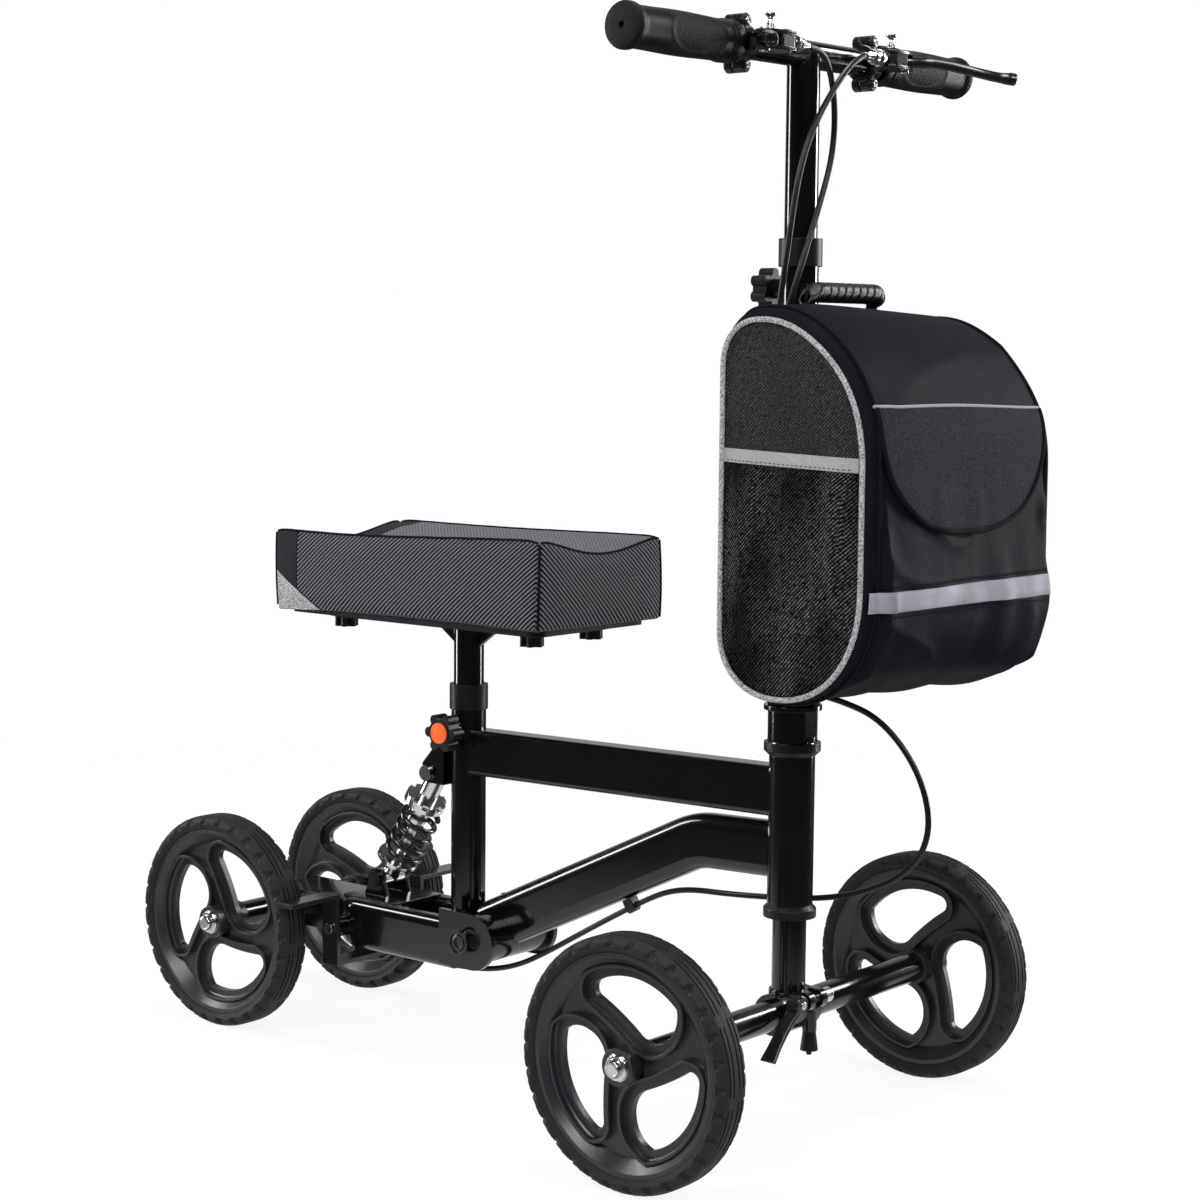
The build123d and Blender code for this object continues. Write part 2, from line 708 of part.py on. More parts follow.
# ---------------------------------------------------------------- rear arm
def swing_arm():
    """Bent rectangular tube with pivot plates, shock fork, deck and the beam to the rear axle."""
    mid = (ARM_BOTTOM_Z + ARM_TOP_Z) / 2
    y = ARM_HALF_WIDTH - ARM_TUBE_WIDTH / 2
    rear = ARM_REAR_X + ARM_TUBE_WIDTH / 2
    path = FilletPolyline(
        (ARM_FRONT_X, -y, mid), (rear, -y, mid), (rear, y, mid), (ARM_FRONT_X, y, mid),
        radius=ARM_BEND_R - ARM_TUBE_WIDTH / 2,
    )
    plane = Plane(path @ 0, x_dir=(0, 1, 0), z_dir=path % 0)
    section = RectangleRounded(ARM_TUBE_WIDTH, ARM_TOP_Z - ARM_BOTTOM_Z, ARM_CORNER)
    arm = sweep(plane * section, path=path)
    plate_face = polygon(
        (ARM_PLATE_REAR_X, PIVOT_Z - ARM_PLATE_R), (PIVOT_X, PIVOT_Z - ARM_PLATE_R),
        (PIVOT_X, PIVOT_Z + ARM_PLATE_R), (ARM_PLATE_REAR_X, PIVOT_Z + ARM_PLATE_R),
    )
    plate_face = plate_face + disc_at(ARM_PLATE_R, PIVOT_X, PIVOT_Z)
    plate_face = plate_face - disc_at(PIVOT_HEAD_R + SEAT * 2, PIVOT_X, PIVOT_Z)
    inner = BARREL_HALF + AXIAL
    for side in (-1, 1):
        near, far = sorted((side * inner, side * (inner + ARM_PLATE)))
        arm = arm + side_plate(plate_face, near, far)
    deck = block(
        rear, ARM_DECK_FRONT_X, -y, y, ARM_TOP_Z - ARM_DECK, ARM_TOP_Z + ARM_DECK / 2
    )
    arm = arm + deck
    x, z = SHOCK_FOOT
    ear = polygon((x - 16, ARM_TOP_Z), (x - 6, z + 7), (x + 6, z + 7), (x + 13, ARM_TOP_Z))
    ear = ear + disc_at(EYE_R + 0.5, x, z) - disc_at(SHOCK_BOLT_R + SEAT, x, z)
    for side in (-1, 1):
        near, far = sorted((side * BRACKET_INNER, side * (BRACKET_INNER + BRACKET_PLATE)))
        arm = arm + side_plate(ear, near, far)
    beam = block(
        0, rear, -CARRIER_HALF, CARRIER_HALF, CARRIER_BOTTOM_Z, CARRIER_TOP_Z
    )
    beam = beam - rod(AXLE_TUBE_R + SEAT, (0, -REAR_Y, TYRE_R), (0, REAR_Y, TYRE_R))
    beam = beam.solids().sort_by(SortBy.VOLUME)[-1]
    arm = arm + beam
    lug_y = YOKE_STRIP_Y - YOKE_BAR / 2 - AXIAL
    for side in (-1, 1):
        start = (YOKE_X, side * (ARM_HALF_WIDTH - 15), YOKE_PIVOT_Z)
        end = (YOKE_X, side * lug_y, YOKE_PIVOT_Z)
        arm = arm + rod(YOKE_LUG_R, start, end) - rod(YOKE_BOLT_R + SEAT, start, end)
    return arm


def swing_arm_bolts():
    """Pivot bolt, lower shock bolt, yoke bolts and rear wheel bolts."""
    plate_out = BARREL_HALF + AXIAL + ARM_PLATE
    shank = rod(
        PIVOT_BOLT_R, (PIVOT_X, -plate_out, PIVOT_Z), (PIVOT_X, plate_out, PIVOT_Z)
    )
    head_in = BARREL_HALF + AXIAL
    pivot = shank
    for side in (-1, 1):
        head = rod(
            PIVOT_HEAD_R, (PIVOT_X, side * head_in, PIVOT_Z), (PIVOT_X, side * plate_out, PIVOT_Z)
        )
        recess = plate_out - ARM_PLATE / 2
        socket = rod(
            PIVOT_HEAD_R * 0.72,
            (PIVOT_X, side * recess, PIVOT_Z), (PIVOT_X, side * (plate_out + 1), PIVOT_Z),
        )
        pivot = pivot + head - socket
    foot_half = BRACKET_INNER + BRACKET_PLATE
    foot = bolt_along_y(SHOCK_BOLT_R, SHOCK_HEAD_R, *SHOCK_FOOT, foot_half, 4.0)
    lug_in = ARM_HALF_WIDTH - 13
    strip_out = YOKE_STRIP_Y + YOKE_BAR / 2 + AXIAL
    yoke = rod(YOKE_BOLT_R, (YOKE_X, lug_in, YOKE_PIVOT_Z), (YOKE_X, strip_out, YOKE_PIVOT_Z))
    cap_end = (YOKE_X, strip_out + YOKE_HEAD, YOKE_PIVOT_Z)
    yoke = yoke + rod(YOKE_HEAD_R, (YOKE_X, strip_out, YOKE_PIVOT_Z), cap_end)
    return group(pivot, foot, mirrored(yoke), axle_bolts(0.0, REAR_Y))


def brake_yoke():
    """Bent flat bar with a shoe before each rear tyre, turning on two bolts."""
    x0, x1 = YOKE_X - YOKE_WIDTH / 2, YOKE_X + YOKE_WIDTH / 2
    half = YOKE_BAR / 2
    inner, outer = YOKE_STRIP_Y - half, YOKE_STRIP_Y + half
    body = block(x0, x1, -outer, outer, YOKE_BOTTOM_Z - half, YOKE_BOTTOM_Z + half)
    for side in (-1, 1):
        near, far = sorted((side * inner, side * outer))
        strip = block(x0, x1, near, far, YOKE_BOTTOM_Z - half, YOKE_TOP_Z + half)
        near, far = sorted((side * inner, side * YOKE_SHOE_Y))
        shoe = block(x0, x1, near, far, YOKE_TOP_Z - half, YOKE_TOP_Z + half)
        body = body + strip + shoe
    body = body - rod(
        YOKE_BOLT_R + RUN, (YOKE_X, -outer, YOKE_PIVOT_Z), (YOKE_X, outer, YOKE_PIVOT_Z)
    )
    anchor_top = YOKE_BOTTOM_Z + half + YOKE_ANCHOR
    anchor = block(x1 - YOKE_ANCHOR, x1, -half * 2, half * 2, YOKE_BOTTOM_Z, anchor_top)
    return body + anchor


# ---------------------------------------------------------------- shock absorber
def along_shock(reach):
    """The point so far down the shock absorber from its upper eye."""
    (x0, z0), (x1, z1) = SHOCK_TOP, SHOCK_FOOT
    length = hypot(x1 - x0, z1 - z0)
    share = reach / length
    return x0 + share * (x1 - x0), 0, z0 + share * (z1 - z0)


SHOCK_LENGTH = hypot(SHOCK_TOP[0] - SHOCK_FOOT[0], SHOCK_TOP[1] - SHOCK_FOOT[1])
SHOCK_DOWN = Vector(SHOCK_FOOT[0] - SHOCK_TOP[0], 0, SHOCK_FOOT[1] - SHOCK_TOP[1])


def shock_eye(place, bore):
    """Cross cylinder of an eye, and its bore."""
    x, z = place
    body = rod(EYE_R, (x, -EYE_HALF, z), (x, EYE_HALF, z))
    return body, rod(bore, (x, -EYE_HALF, z), (x, EYE_HALF, z))


def shock_body():
    """Upper eye, threaded barrel and notched preload ring."""
    eye, bore = shock_eye(SHOCK_TOP, SHOCK_BOLT_R + RUN)
    barrel = rod(SHOCK_BARREL_R, along_shock(0), along_shock(SHOCK_BARREL_END))
    ring_plane = Plane(along_shock(RING_TOP), x_dir=(0, 1, 0), z_dir=SHOCK_DOWN)
    ring = Cylinder(RING_R, RING_BOTTOM - RING_TOP, align=BOTTOM)
    depth = (RING_BOTTOM - RING_TOP) * 0.45

    def notch(angle):
        cut = Pos(RING_R, 0, depth / 2) * Box(RING_NOTCH, RING_NOTCH, depth)
        return Rot(0, 0, angle) * cut

    ring = ring_plane * (ring - ring_of(RING_NOTCHES, notch))
    body = eye + barrel + ring
    bore_start = along_shock(SHOCK_ROD_TOP - 20)
    return body - bore - rod(SHOCK_ROD_R + RUN, bore_start, along_shock(SHOCK_BARREL_END))


def shock_rod():
    """Polished rod, spring perch and lower eye."""
    eye, bore = shock_eye(SHOCK_FOOT, SHOCK_BOLT_R + LOOP_CLEARANCE)
    rod_part = rod(SHOCK_ROD_R, along_shock(SHOCK_ROD_TOP), along_shock(SHOCK_LENGTH))
    perch = rod(RING_R, along_shock(PERCH_TOP), along_shock(PERCH_TOP + PERCH))
    neck = rod(EYE_R, along_shock(PERCH_TOP), along_shock(SHOCK_LENGTH))
    return eye + rod_part + perch + neck - bore


def shock_spring():
    """Coil spring between the preload ring and the perch."""
    start = RING_BOTTOM + SPRING_WIRE_R + 0.1
    end = PERCH_TOP - SPRING_WIRE_R - 0.1
    height = end - start
    helix = Helix(pitch=height / SPRING_TURNS, height=height, radius=SPRING_R)
    section = Plane(helix @ 0, z_dir=helix % 0) * Circle(SPRING_WIRE_R)
    coil = sweep(section, path=helix)
    return Plane(along_shock(start), x_dir=(0, 1, 0), z_dir=SHOCK_DOWN) * coil


# ---------------------------------------------------------------- steering
def steerer_tube():
    """Round tube through the head, from the axle clamp up into the folding joint."""
    ends = (STEER_X, 0, STEERER_BOTTOM_Z), (STEER_X, 0, STEERER_TOP_Z)
    return tube(STEERER_R, STEERER_R - STEERER_WALL, *ends)


def axle_clamp():
    """Sleeve round the front axle with a toothed socket for the steerer and clamp ears."""
    body = rod(CLAMP_R, (STEER_X, -CLAMP_HALF, TYRE_R), (STEER_X, CLAMP_HALF, TYRE_R))
    boss_top = TOOTH_RING_Z
    body = body + rod(CLAMP_BOSS_R, (STEER_X, 0, TYRE_R), (STEER_X, 0, boss_top))
    ring_end = (STEER_X, 0, boss_top + TOOTH_RING)
    ring = tube(TOOTH_RING_R, STEERER_R + SEAT, (STEER_X, 0, boss_top), ring_end)

    def gap(angle):
        cut = Pos(TOOTH_RING_R, 0, TOOTH_RING * 0.75) * Box(
            TOOTH_GAP, TOOTH_GAP, TOOTH_RING / 2
        )
        return Rot(0, 0, angle) * cut

    ring = ring - Pos(STEER_X, 0, boss_top) * ring_of(TEETH, gap)
    body = body + ring
    ear_back = STEER_X + TOOTH_RING_R + 1.2
    for side in (-1, 1):
        near, far = sorted((side * EAR_INNER, side * EAR_OUTER))
        ear = polygon(
            (ear_back - EAR_R, EAR_Z - EAR_R), (EAR_X, EAR_Z - EAR_R), (EAR_X, EAR_Z + EAR_R),
            (ear_back, EAR_Z + EAR_R), (ear_back, TOOTH_RING_Z - 1),
            (ear_back - EAR_R, TOOTH_RING_Z - 1),
        )
        ear = ear + disc_at(EAR_R, EAR_X, EAR_Z) - disc_at(SKEWER_R + SEAT, EAR_X, EAR_Z)
        body = body + side_plate(ear, near, far)
    boss = rod(
        PLUNGER_BOSS_R, (PLUNGER_X, PLUNGER_Y, PLUNGER_SEAT_Z), (PLUNGER_X, PLUNGER_Y, TYRE_R)
    )
    body = body + boss
    body = body - rod(AXLE_TUBE_R + SEAT, (STEER_X, -FRONT_Y, TYRE_R), (STEER_X, FRONT_Y, TYRE_R))
    body = body - rod(STEERER_R + SEAT, (STEER_X, 0, STEERER_BOTTOM_Z), (STEER_X, 0, HEAD_BOTTOM_Z))
    bore_top = TYRE_R - AXLE_TUBE_R / 2
    hole = (PLUNGER_X, PLUNGER_Y, PLUNGER_SEAT_Z), (PLUNGER_X, PLUNGER_Y, bore_top)
    body = body - rod(PLUNGER_ROD_R + RUN, *hole)
    return body.solids().sort_by(SortBy.VOLUME)[-1]


def steering_bolts():
    """Clamp skewer with its nut, and the front wheel bolts."""
    nut_start = (EAR_X, EAR_OUTER + SEAT, EAR_Z)
    nut_end = (EAR_X, EAR_OUTER + SKEWER_NUT, EAR_Z)
    skewer = rod(SKEWER_R, (EAR_X, -EAR_OUTER - 1.0, EAR_Z), nut_end)
    skewer = skewer + rod(SKEWER_NUT_R, nut_start, nut_end)
    return group(skewer, axle_bolts(STEER_X, FRONT_Y))


def cam_lever(reach, thick):
    """Quick-release lever on X: cam at the origin, blade along +Z, its pin side towards -Y."""
    cam = rod(CAM_R, (-CAM_HALF, 0, 0), (CAM_HALF, 0, 0))
    outline = [(-thick / 2, 0), (thick, 0), (thick * 2, reach), (thick, reach)]
    blade_face = Plane((-CAM_HALF, 0, 0), x_dir=(0, 1, 0), z_dir=(1, 0, 0)) * polygon(*outline)
    blade = extrude(blade_face, amount=2 * CAM_HALF, dir=(1, 0, 0))
    return cam + blade


def axle_lever():
    """Quick-release lever of the axle clamp, hanging down."""
    y = -(EAR_OUTER + 1.0 + SOFT + CAM_R)
    return Pos(EAR_X, y, EAR_Z) * Rot(180, 0, 0) * cam_lever(LEVER_REACH, LEVER_THICK)


def axle_plunger():
    """Spring plunger under the clamp: knob, rod and tip."""
    x, y, seat = PLUNGER_X, PLUNGER_Y, PLUNGER_SEAT_Z
    top = seat - AXIAL
    low = top - PLUNGER_KNOB
    knob = Pos(x, y, low) * Cone(PLUNGER_R, PLUNGER_R * 0.72, PLUNGER_KNOB, align=BOTTOM)
    tip = rod(PLUNGER_ROD_R * 0.9, (x, y, low - 4), (x, y, low))
    return knob + rod(PLUNGER_ROD_R, (x, y, top), (x, y, seat + 3.0)) + tip


# ---------------------------------------------------------------- folding joint
def fold_base():
    """Lower half of the folding joint: block on the steerer, flange and two cheeks."""
    x = STEER_X
    body = rod(FOLD_BASE_R, (x, 0, FOLD_BASE_BOTTOM_Z), (x, 0, FOLD_FLANGE_Z))
    facet_x = x + FOLD_BASE_R - FOLD_FACET
    flange_low = FOLD_FLANGE_Z - FOLD_FLANGE
    body = body - block(
        facet_x, x + 2 * FOLD_BASE_R, -FOLD_BASE_R, FOLD_BASE_R,
        FOLD_BASE_BOTTOM_Z + FOLD_FLANGE, flange_low,
    )
    body = body + rod(FOLD_FLANGE_R, (x, 0, flange_low), (x, 0, FOLD_FLANGE_Z))
    cheek = polygon(
        (x - CHEEK_R, FOLD_FLANGE_Z - 1), (x + CHEEK_R, FOLD_FLANGE_Z - 1),
        (x + CHEEK_R, FOLD_Z), (x - CHEEK_R, FOLD_Z),
    )
    cheek = cheek + disc_at(CHEEK_R, x, FOLD_Z) - disc_at(FOLD_PIN_R + RUN, x, FOLD_Z)
    for side in (-1, 1):
        near, far = sorted((side * CHEEK_INNER, side * CHEEK_OUTER))
        body = body + side_plate(cheek, near, far)
    return body - rod(STEERER_R + SEAT, (x, 0, FOLD_BASE_BOTTOM_Z), (x, 0, STEERER_TOP_Z + 1))


def fold_head():
    """Upper half of the folding joint with its pin: tongue and socket for the column."""
    x = STEER_X
    socket_z = FOLD_Z + FOLD_SOCKET_RISE
    shoulder = FOLD_Z + TONGUE_SHOULDER
    tongue = polygon(
        (x - TONGUE_R, FOLD_Z), (x + TONGUE_R, FOLD_Z), (x + TONGUE_HALF, shoulder),
        (x + TONGUE_HALF, socket_z + 1), (x - TONGUE_HALF, socket_z + 1),
        (x - TONGUE_HALF, shoulder),
    )
    tongue = tongue + disc_at(TONGUE_R, x, FOLD_Z) - disc_at(FOLD_PIN_R + SEAT, x, FOLD_Z)
    width = CHEEK_INNER - SOFT
    body = side_plate(tongue, -width, width)
    socket_top = socket_z + FOLD_SOCKET
    body = body + rod(FOLD_SOCKET_R, (x, 0, socket_z), (x, 0, socket_top))
    body = body - rod(COLUMN_R + SEAT, (x, 0, socket_z + 4), (x, 0, socket_top))
    pin = rod(FOLD_PIN_R, (x, -FOLD_PIN_HALF, FOLD_Z), (x, FOLD_PIN_HALF, FOLD_Z))
    head_start = (x, -CHEEK_OUTER - SOFT, FOLD_Z)
    pin = pin + rod(FOLD_HEAD_R, head_start, (x, -FOLD_PIN_HALF, FOLD_Z))
    return group(body, pin)


def fold_lever():
    """Quick-release lever of the folding joint, lying up beside the column."""
    y = FOLD_PIN_HALF + SOFT + CAM_R
    return Pos(STEER_X, y, FOLD_Z) * cam_lever(FOLD_LEVER_REACH, LEVER_THICK)


# ---------------------------------------------------------------- column and handlebar
def column_tube():
    """Outer tube of the column with the threaded boss of its knob."""
    bottom = FOLD_Z + FOLD_SOCKET_RISE + 4
    top = COLUMN_TOP_Z - 3.0
    boss_end = (STEER_X - COLUMN_R - KNOB_BOSS, 0, KNOB_Z)
    boss = rod(KNOB_BOSS_R, (STEER_X, 0, KNOB_Z), boss_end)
    body = rod(COLUMN_R, (STEER_X, 0, bottom), (STEER_X, 0, top)) + boss
    body = body - rod(POST_R + RUN, (STEER_X, 0, bottom), (STEER_X, 0, top))
    return body - rod(KNOB_SCREW_R + RUN, (STEER_X, 0, KNOB_Z), boss_end)


def height_collar():
    """Plastic collar over the mouth of the column."""
    x = STEER_X
    low = COLUMN_TOP_Z - HEIGHT_COLLAR
    tube_top = COLUMN_TOP_Z - 3.0
    body = rod(HEIGHT_COLLAR_R, (x, 0, low), (x, 0, COLUMN_TOP_Z))
    body = body - rod(COLUMN_R + SEAT, (x, 0, low), (x, 0, tube_top))
    return body - rod(POST_R + RUN, (x, 0, tube_top), (x, 0, COLUMN_TOP_Z))


def screw_knob(radius, post_gap):
    """A star knob on Z with its screw behind it, and a cap on its face as a second solid."""
    knob = star_knob(radius, KNOB_DEPTH, KNOB_LOBES)
    seat = rod(KNOB_CAP_R + SEAT, (0, 0, KNOB_DEPTH - KNOB_CAP / 2), (0, 0, KNOB_DEPTH))
    knob = knob - seat + rod(KNOB_SCREW_R, (0, 0, -post_gap), (0, 0, 0))
    low = KNOB_DEPTH - KNOB_CAP / 2
    cap = rod(KNOB_CAP_R, (0, 0, low), (0, 0, low + KNOB_CAP))
    cap = fillet(cap.edges().group_by(Axis.Z)[-1], KNOB_CAP * 0.3)
    return knob, cap


def column_knob():
    """Star knob that clamps the handlebar post, on the back of the column."""
    reach = COLUMN_R + KNOB_BOSS + SOFT
    knob, cap = screw_knob(KNOB_R, reach - POST_R - SOFT)
    place = Pos(STEER_X - reach, 0, KNOB_Z) * Rot(0, -90, 0)
    return group(place * knob, place * cap)


def seat_knob():
    """Star knob that clamps the seat post, on the right of the seat tube."""
    reach = SEAT_TUBE_R + KNOB_BOSS + SOFT
    knob, cap = screw_knob(SEAT_KNOB_R, reach - SEAT_POST_R - SOFT)
    place = Pos(SEAT_TUBE_X, -reach, SEAT_KNOB_Z) * Rot(90, 0, 0)
    return group(place * knob, place * cap)


def handlebar_post():
    """Inner tube of the column, saddled under the handlebar."""
    ends = (STEER_X, 0, POST_BOTTOM_Z), (STEER_X, 0, HANDLEBAR_Z)
    post = tube(POST_R, POST_R - POST_WALL, *ends)
    bar = rod(BAR_R + SEAT, (STEER_X, -POST_R * 2, HANDLEBAR_Z), (STEER_X, POST_R * 2, HANDLEBAR_Z))
    return (post - bar).solids().sort_by(SortBy.VOLUME)[-1]


def handlebar():
    """Straight cross bar."""
    ends = (STEER_X, -BAR_HALF, HANDLEBAR_Z), (STEER_X, BAR_HALF, HANDLEBAR_Z)
    return tube(BAR_R, BAR_R - BAR_WALL, *ends)


def grip():
    """Left rubber grip: ring at its inner end, waisted palm and mushroom end."""
    bore = BAR_R + SEAT
    length = GRIP_OUTER_Y - GRIP_INNER_Y
    waist = GRIP_R - 1.5
    body = turned(
        (bore, 0), (GRIP_RING, 0), (GRIP_RING, 12), (waist, 14), (GRIP_R, length / 2),
        (GRIP_R, length - GRIP_END * 2), (GRIP_END_R, length - GRIP_END),
        (GRIP_END_R, length - 3), (GRIP_END_R - 3, length), (4, length),
        (4, BAR_HALF - GRIP_INNER_Y + SOFT), (bore, BAR_HALF - GRIP_INNER_Y + SOFT),
    )
    return Pos(STEER_X, GRIP_INNER_Y, HANDLEBAR_Z) * Rot(-90, 0, 0) * body


def lever_clamp():
    """Left brake lever bracket: split ring on the bar, body, cable adjuster."""
    x, y, z = STEER_X, LEVER_CLAMP_Y, HANDLEBAR_Z
    y0, y1 = y - LEVER_CLAMP_WIDTH / 2, y + LEVER_CLAMP_WIDTH / 2
    body = rod(LEVER_CLAMP_R, (x, y0, z), (x, y1, z))
    half = LEVER_EAR_THICK
    body = body + block(x - half, x + half, y0, y1, z - LEVER_EAR, z + LEVER_EAR)
    low, high = z - LEVER_BODY_HALF, z + LEVER_BODY_HALF
    arm = block(LEVER_BODY_X0, LEVER_BODY_X1, LEVER_BODY_IN_Y, LEVER_BODY_OUT_Y, low, high)
    arm = fillet(arm.edges().filter_by(Axis.Z), 6.0)
    body = body + arm + block(x, LEVER_BODY_X0 + 8, y0, y1, low, high)
    slot = block(
        LEVER_BODY_X0 - 1, LEVER_BODY_X1 + 1, LEVER_SLOT_Y, LEVER_BODY_OUT_Y + 1,
        z - LEVER_SLOT_HALF, z + LEVER_SLOT_HALF,
    )
    body = body - slot
    body = body - rod(BAR_R + SEAT, (x, y0, z), (x, y1, z))
    pin_bottom = (LEVER_PIVOT_X, LEVER_PIVOT_Y, low)
    body = body + rod(LEVER_PIVOT_R, pin_bottom, (LEVER_PIVOT_X, LEVER_PIVOT_Y, high + 1))
    park_hole = (PARK_PIN_X, PARK_PIN_Y, z), (PARK_PIN_X, PARK_PIN_Y, high)
    body = body - rod(PARK_PIN_R + RUN, *park_hole)
    adjuster = rod(ADJUSTER_R, (LEVER_PIVOT_X, LEVER_BODY_IN_Y, z), (LEVER_PIVOT_X, ADJUSTER_END_Y, z))
    return body + adjuster


def brake_lever():
    """Left brake lever: eye on its pin and a tapering blade that droops to its tip."""
    tip = Vector(*LEVER_BLADE_TIP)
    root = Vector(LEVER_PIVOT_X, LEVER_PIVOT_Y)
    along = (tip - root).normalized()
    across = Vector(-along.Y, along.X) * (LEVER_BLADE_WIDTH / 2)
    corners = [root + across, tip + across * 0.8, tip - across * 0.8, root - across]
    blade = polygon(*[(c.X, c.Y) for c in corners])
    eye_r = LEVER_BLADE_WIDTH * 0.8
    blade = blade + Pos(root.X, root.Y) * Circle(eye_r)
    blade = blade + Pos(tip.X, tip.Y) * Circle(LEVER_BLADE_WIDTH * 0.5)
    blade = blade - Pos(root.X, root.Y) * Circle(LEVER_PIVOT_R + RUN)
    deep = LEVER_BLADE_DROP + 2 * LEVER_BLADE_HALF
    blade = Pos(0, 0, HANDLEBAR_Z) * extrude(blade, amount=deep, both=True)
    half, flat, drop = LEVER_BLADE_HALF, LEVER_BLADE_FLAT, LEVER_BLADE_DROP
    end = (tip - root).length + LEVER_BLADE_WIDTH
    side = polygon(
        (-LEVER_BLADE_WIDTH, half), (flat, half), (end, half - drop), (end, -half - drop),
        (flat, -half), (-LEVER_BLADE_WIDTH, -half),
    )
    level = Plane((root.X, root.Y, HANDLEBAR_Z), x_dir=along, z_dir=along.cross(Vector(0, 0, 1)))
    return blade & (level * extrude(side, amount=LEVER_BLADE_WIDTH * 2, both=True))


def park_pin():
    """Left parking-brake pin, pushed down into the lever bracket."""
    low = (PARK_PIN_X, PARK_PIN_Y, HANDLEBAR_Z + PARK_PIN_TRAVEL + PARK_PIN_GAP)
    top = (PARK_PIN_X, PARK_PIN_Y, HANDLEBAR_Z + PARK_PIN_RISE)
    under = (PARK_PIN_X, PARK_PIN_Y, HANDLEBAR_Z + PARK_PIN_RISE - PARK_PIN_HEAD)
    return rod(PARK_PIN_R, low, top) + rod(PARK_PIN_HEAD_R, under, top)


# ---------------------------------------------------------------- knee pad
def knee_cushion():
    """Contoured cushion: high sides and a hollow along the middle."""
    half = PAD_WIDTH / 2
    dip_z = PAD_TOP_Z - PAD_DIP
    edge = half - PAD_SHOULDER
    wire = Line((-half, PAD_BOTTOM_Z), (-half, PAD_TOP_Z)) + Line(
        (-half, PAD_TOP_Z), (-edge, PAD_TOP_Z)
    )
    wire = wire + ThreePointArc((-edge, PAD_TOP_Z), (0, dip_z), (edge, PAD_TOP_Z))
    wire = wire + Line((edge, PAD_TOP_Z), (half, PAD_TOP_Z)) + Line(
        (half, PAD_TOP_Z), (half, PAD_BOTTOM_Z)
    )
    wire = wire + Line((half, PAD_BOTTOM_Z), (-half, PAD_BOTTOM_Z))
    face = Plane((PAD_REAR_X, 0, 0), x_dir=(0, 1, 0), z_dir=(1, 0, 0)) * make_face(wire)
    body = extrude(face, amount=PAD_FRONT_X - PAD_REAR_X, dir=(1, 0, 0))
    upright = body.edges().filter_by(Axis.Z)
    return fillet(upright, PAD_EDGE_R)


def stud_places():
    """Where the four studs of the pad stand."""
    return [(x, side * PAD_KNOB_Y) for x in PAD_KNOB_X for side in (-1, 1)]


def pad_board():
    """Board under the cushion with four blind holes for the studs."""
    length = PAD_FRONT_X - PAD_REAR_X - 2 * BOARD_INSET
    width = PAD_WIDTH - 2 * BOARD_INSET
    face = RectangleRounded(length, width, BOARD_CORNER)
    x = (PAD_FRONT_X + PAD_REAR_X) / 2
    board = Pos(x, 0, SEAT_PLATE_TOP_Z) * extrude(face, amount=BOARD)
    for x, y in stud_places():
        board = board - rod(
            PAD_STUD_R + RUN, (x, y, SEAT_PLATE_TOP_Z), (x, y, SEAT_PLATE_TOP_Z + BOARD - 1)
        )
    return board


def seat_post():
    """Round post welded with gussets under the plate that carries the pad."""
    x = SEAT_TUBE_X
    low, high = SEAT_PLATE_BOTTOM_Z, SEAT_PLATE_TOP_Z - SEAT
    post = tube(SEAT_POST_R, SEAT_POST_R - SEAT_POST_WALL, (x, 0, SEAT_POST_BOTTOM_Z), (x, 0, low))
    centre = (PAD_KNOB_X[0] + PAD_KNOB_X[1]) / 2
    face = RectangleRounded(SEAT_PLATE_LENGTH, SEAT_PLATE_WIDTH, SEAT_PLATE_CORNER)
    plate = Pos(centre, 0, low) * extrude(face, amount=high - low)
    for stud_x, y in stud_places():
        plate = plate - rod(PAD_STUD_R + RUN, (stud_x, y, low), (stud_x, y, high))
    body = post + plate
    start = SEAT_POST_R - SEAT_POST_WALL / 2
    for side in (-1, 1):
        outline = polygon(
            (x + side * start, low - GUSSET_DROP), (x + side * start, low + 1),
            (x + side * (start + GUSSET_REACH), low + 1),
            (x + side * (start + GUSSET_REACH), low - GUSSET_TOE),
        )
        body = body + side_plate(outline, -GUSSET / 2, GUSSET / 2)
    return body


def pad_knob(x, y):
    """One star knob with its stud, under the seat plate."""
    top = SEAT_PLATE_BOTTOM_Z - AXIAL
    knob = Pos(x, y, top - PAD_KNOB_DEPTH) * star_knob(PAD_KNOB_R, PAD_KNOB_DEPTH, PAD_KNOB_LOBES)
    return knob + rod(PAD_STUD_R, (x, y, top), (x, y, SEAT_PLATE_TOP_Z + BOARD - 1.5))


# ---------------------------------------------------------------- bag
def bag(grow=0.0):
    """Bag body, or the space it takes with a gap all round."""
    back, front = BAG_BACK_X - grow, BAG_FRONT_X + grow
    half = BAG_HALF_WIDTH + grow
    body = block(back, front, -half, half, BAG_BOTTOM_Z - grow, BAG_TOP_Z + grow)
    corners = (
        (back, BAG_BOTTOM_Z - grow, BAG_BACK_LOW_R), (front, BAG_BOTTOM_Z - grow, BAG_FRONT_LOW_R),
        (back, BAG_TOP_Z + grow, BAG_BACK_TOP_R), (front, BAG_TOP_Z + grow, BAG_FRONT_TOP_R),
    )
    for x, z, radius in corners:
        edge = body.edges().filter_by(Axis.Y).sort_by_distance((x, 0, z))[0]
        body = fillet(edge, radius + grow)
    body = fillet(body.edges().group_by(Axis.Y)[0], BAG_EDGE_R + grow)
    return fillet(body.edges().group_by(Axis.Y)[-1], BAG_EDGE_R + grow)


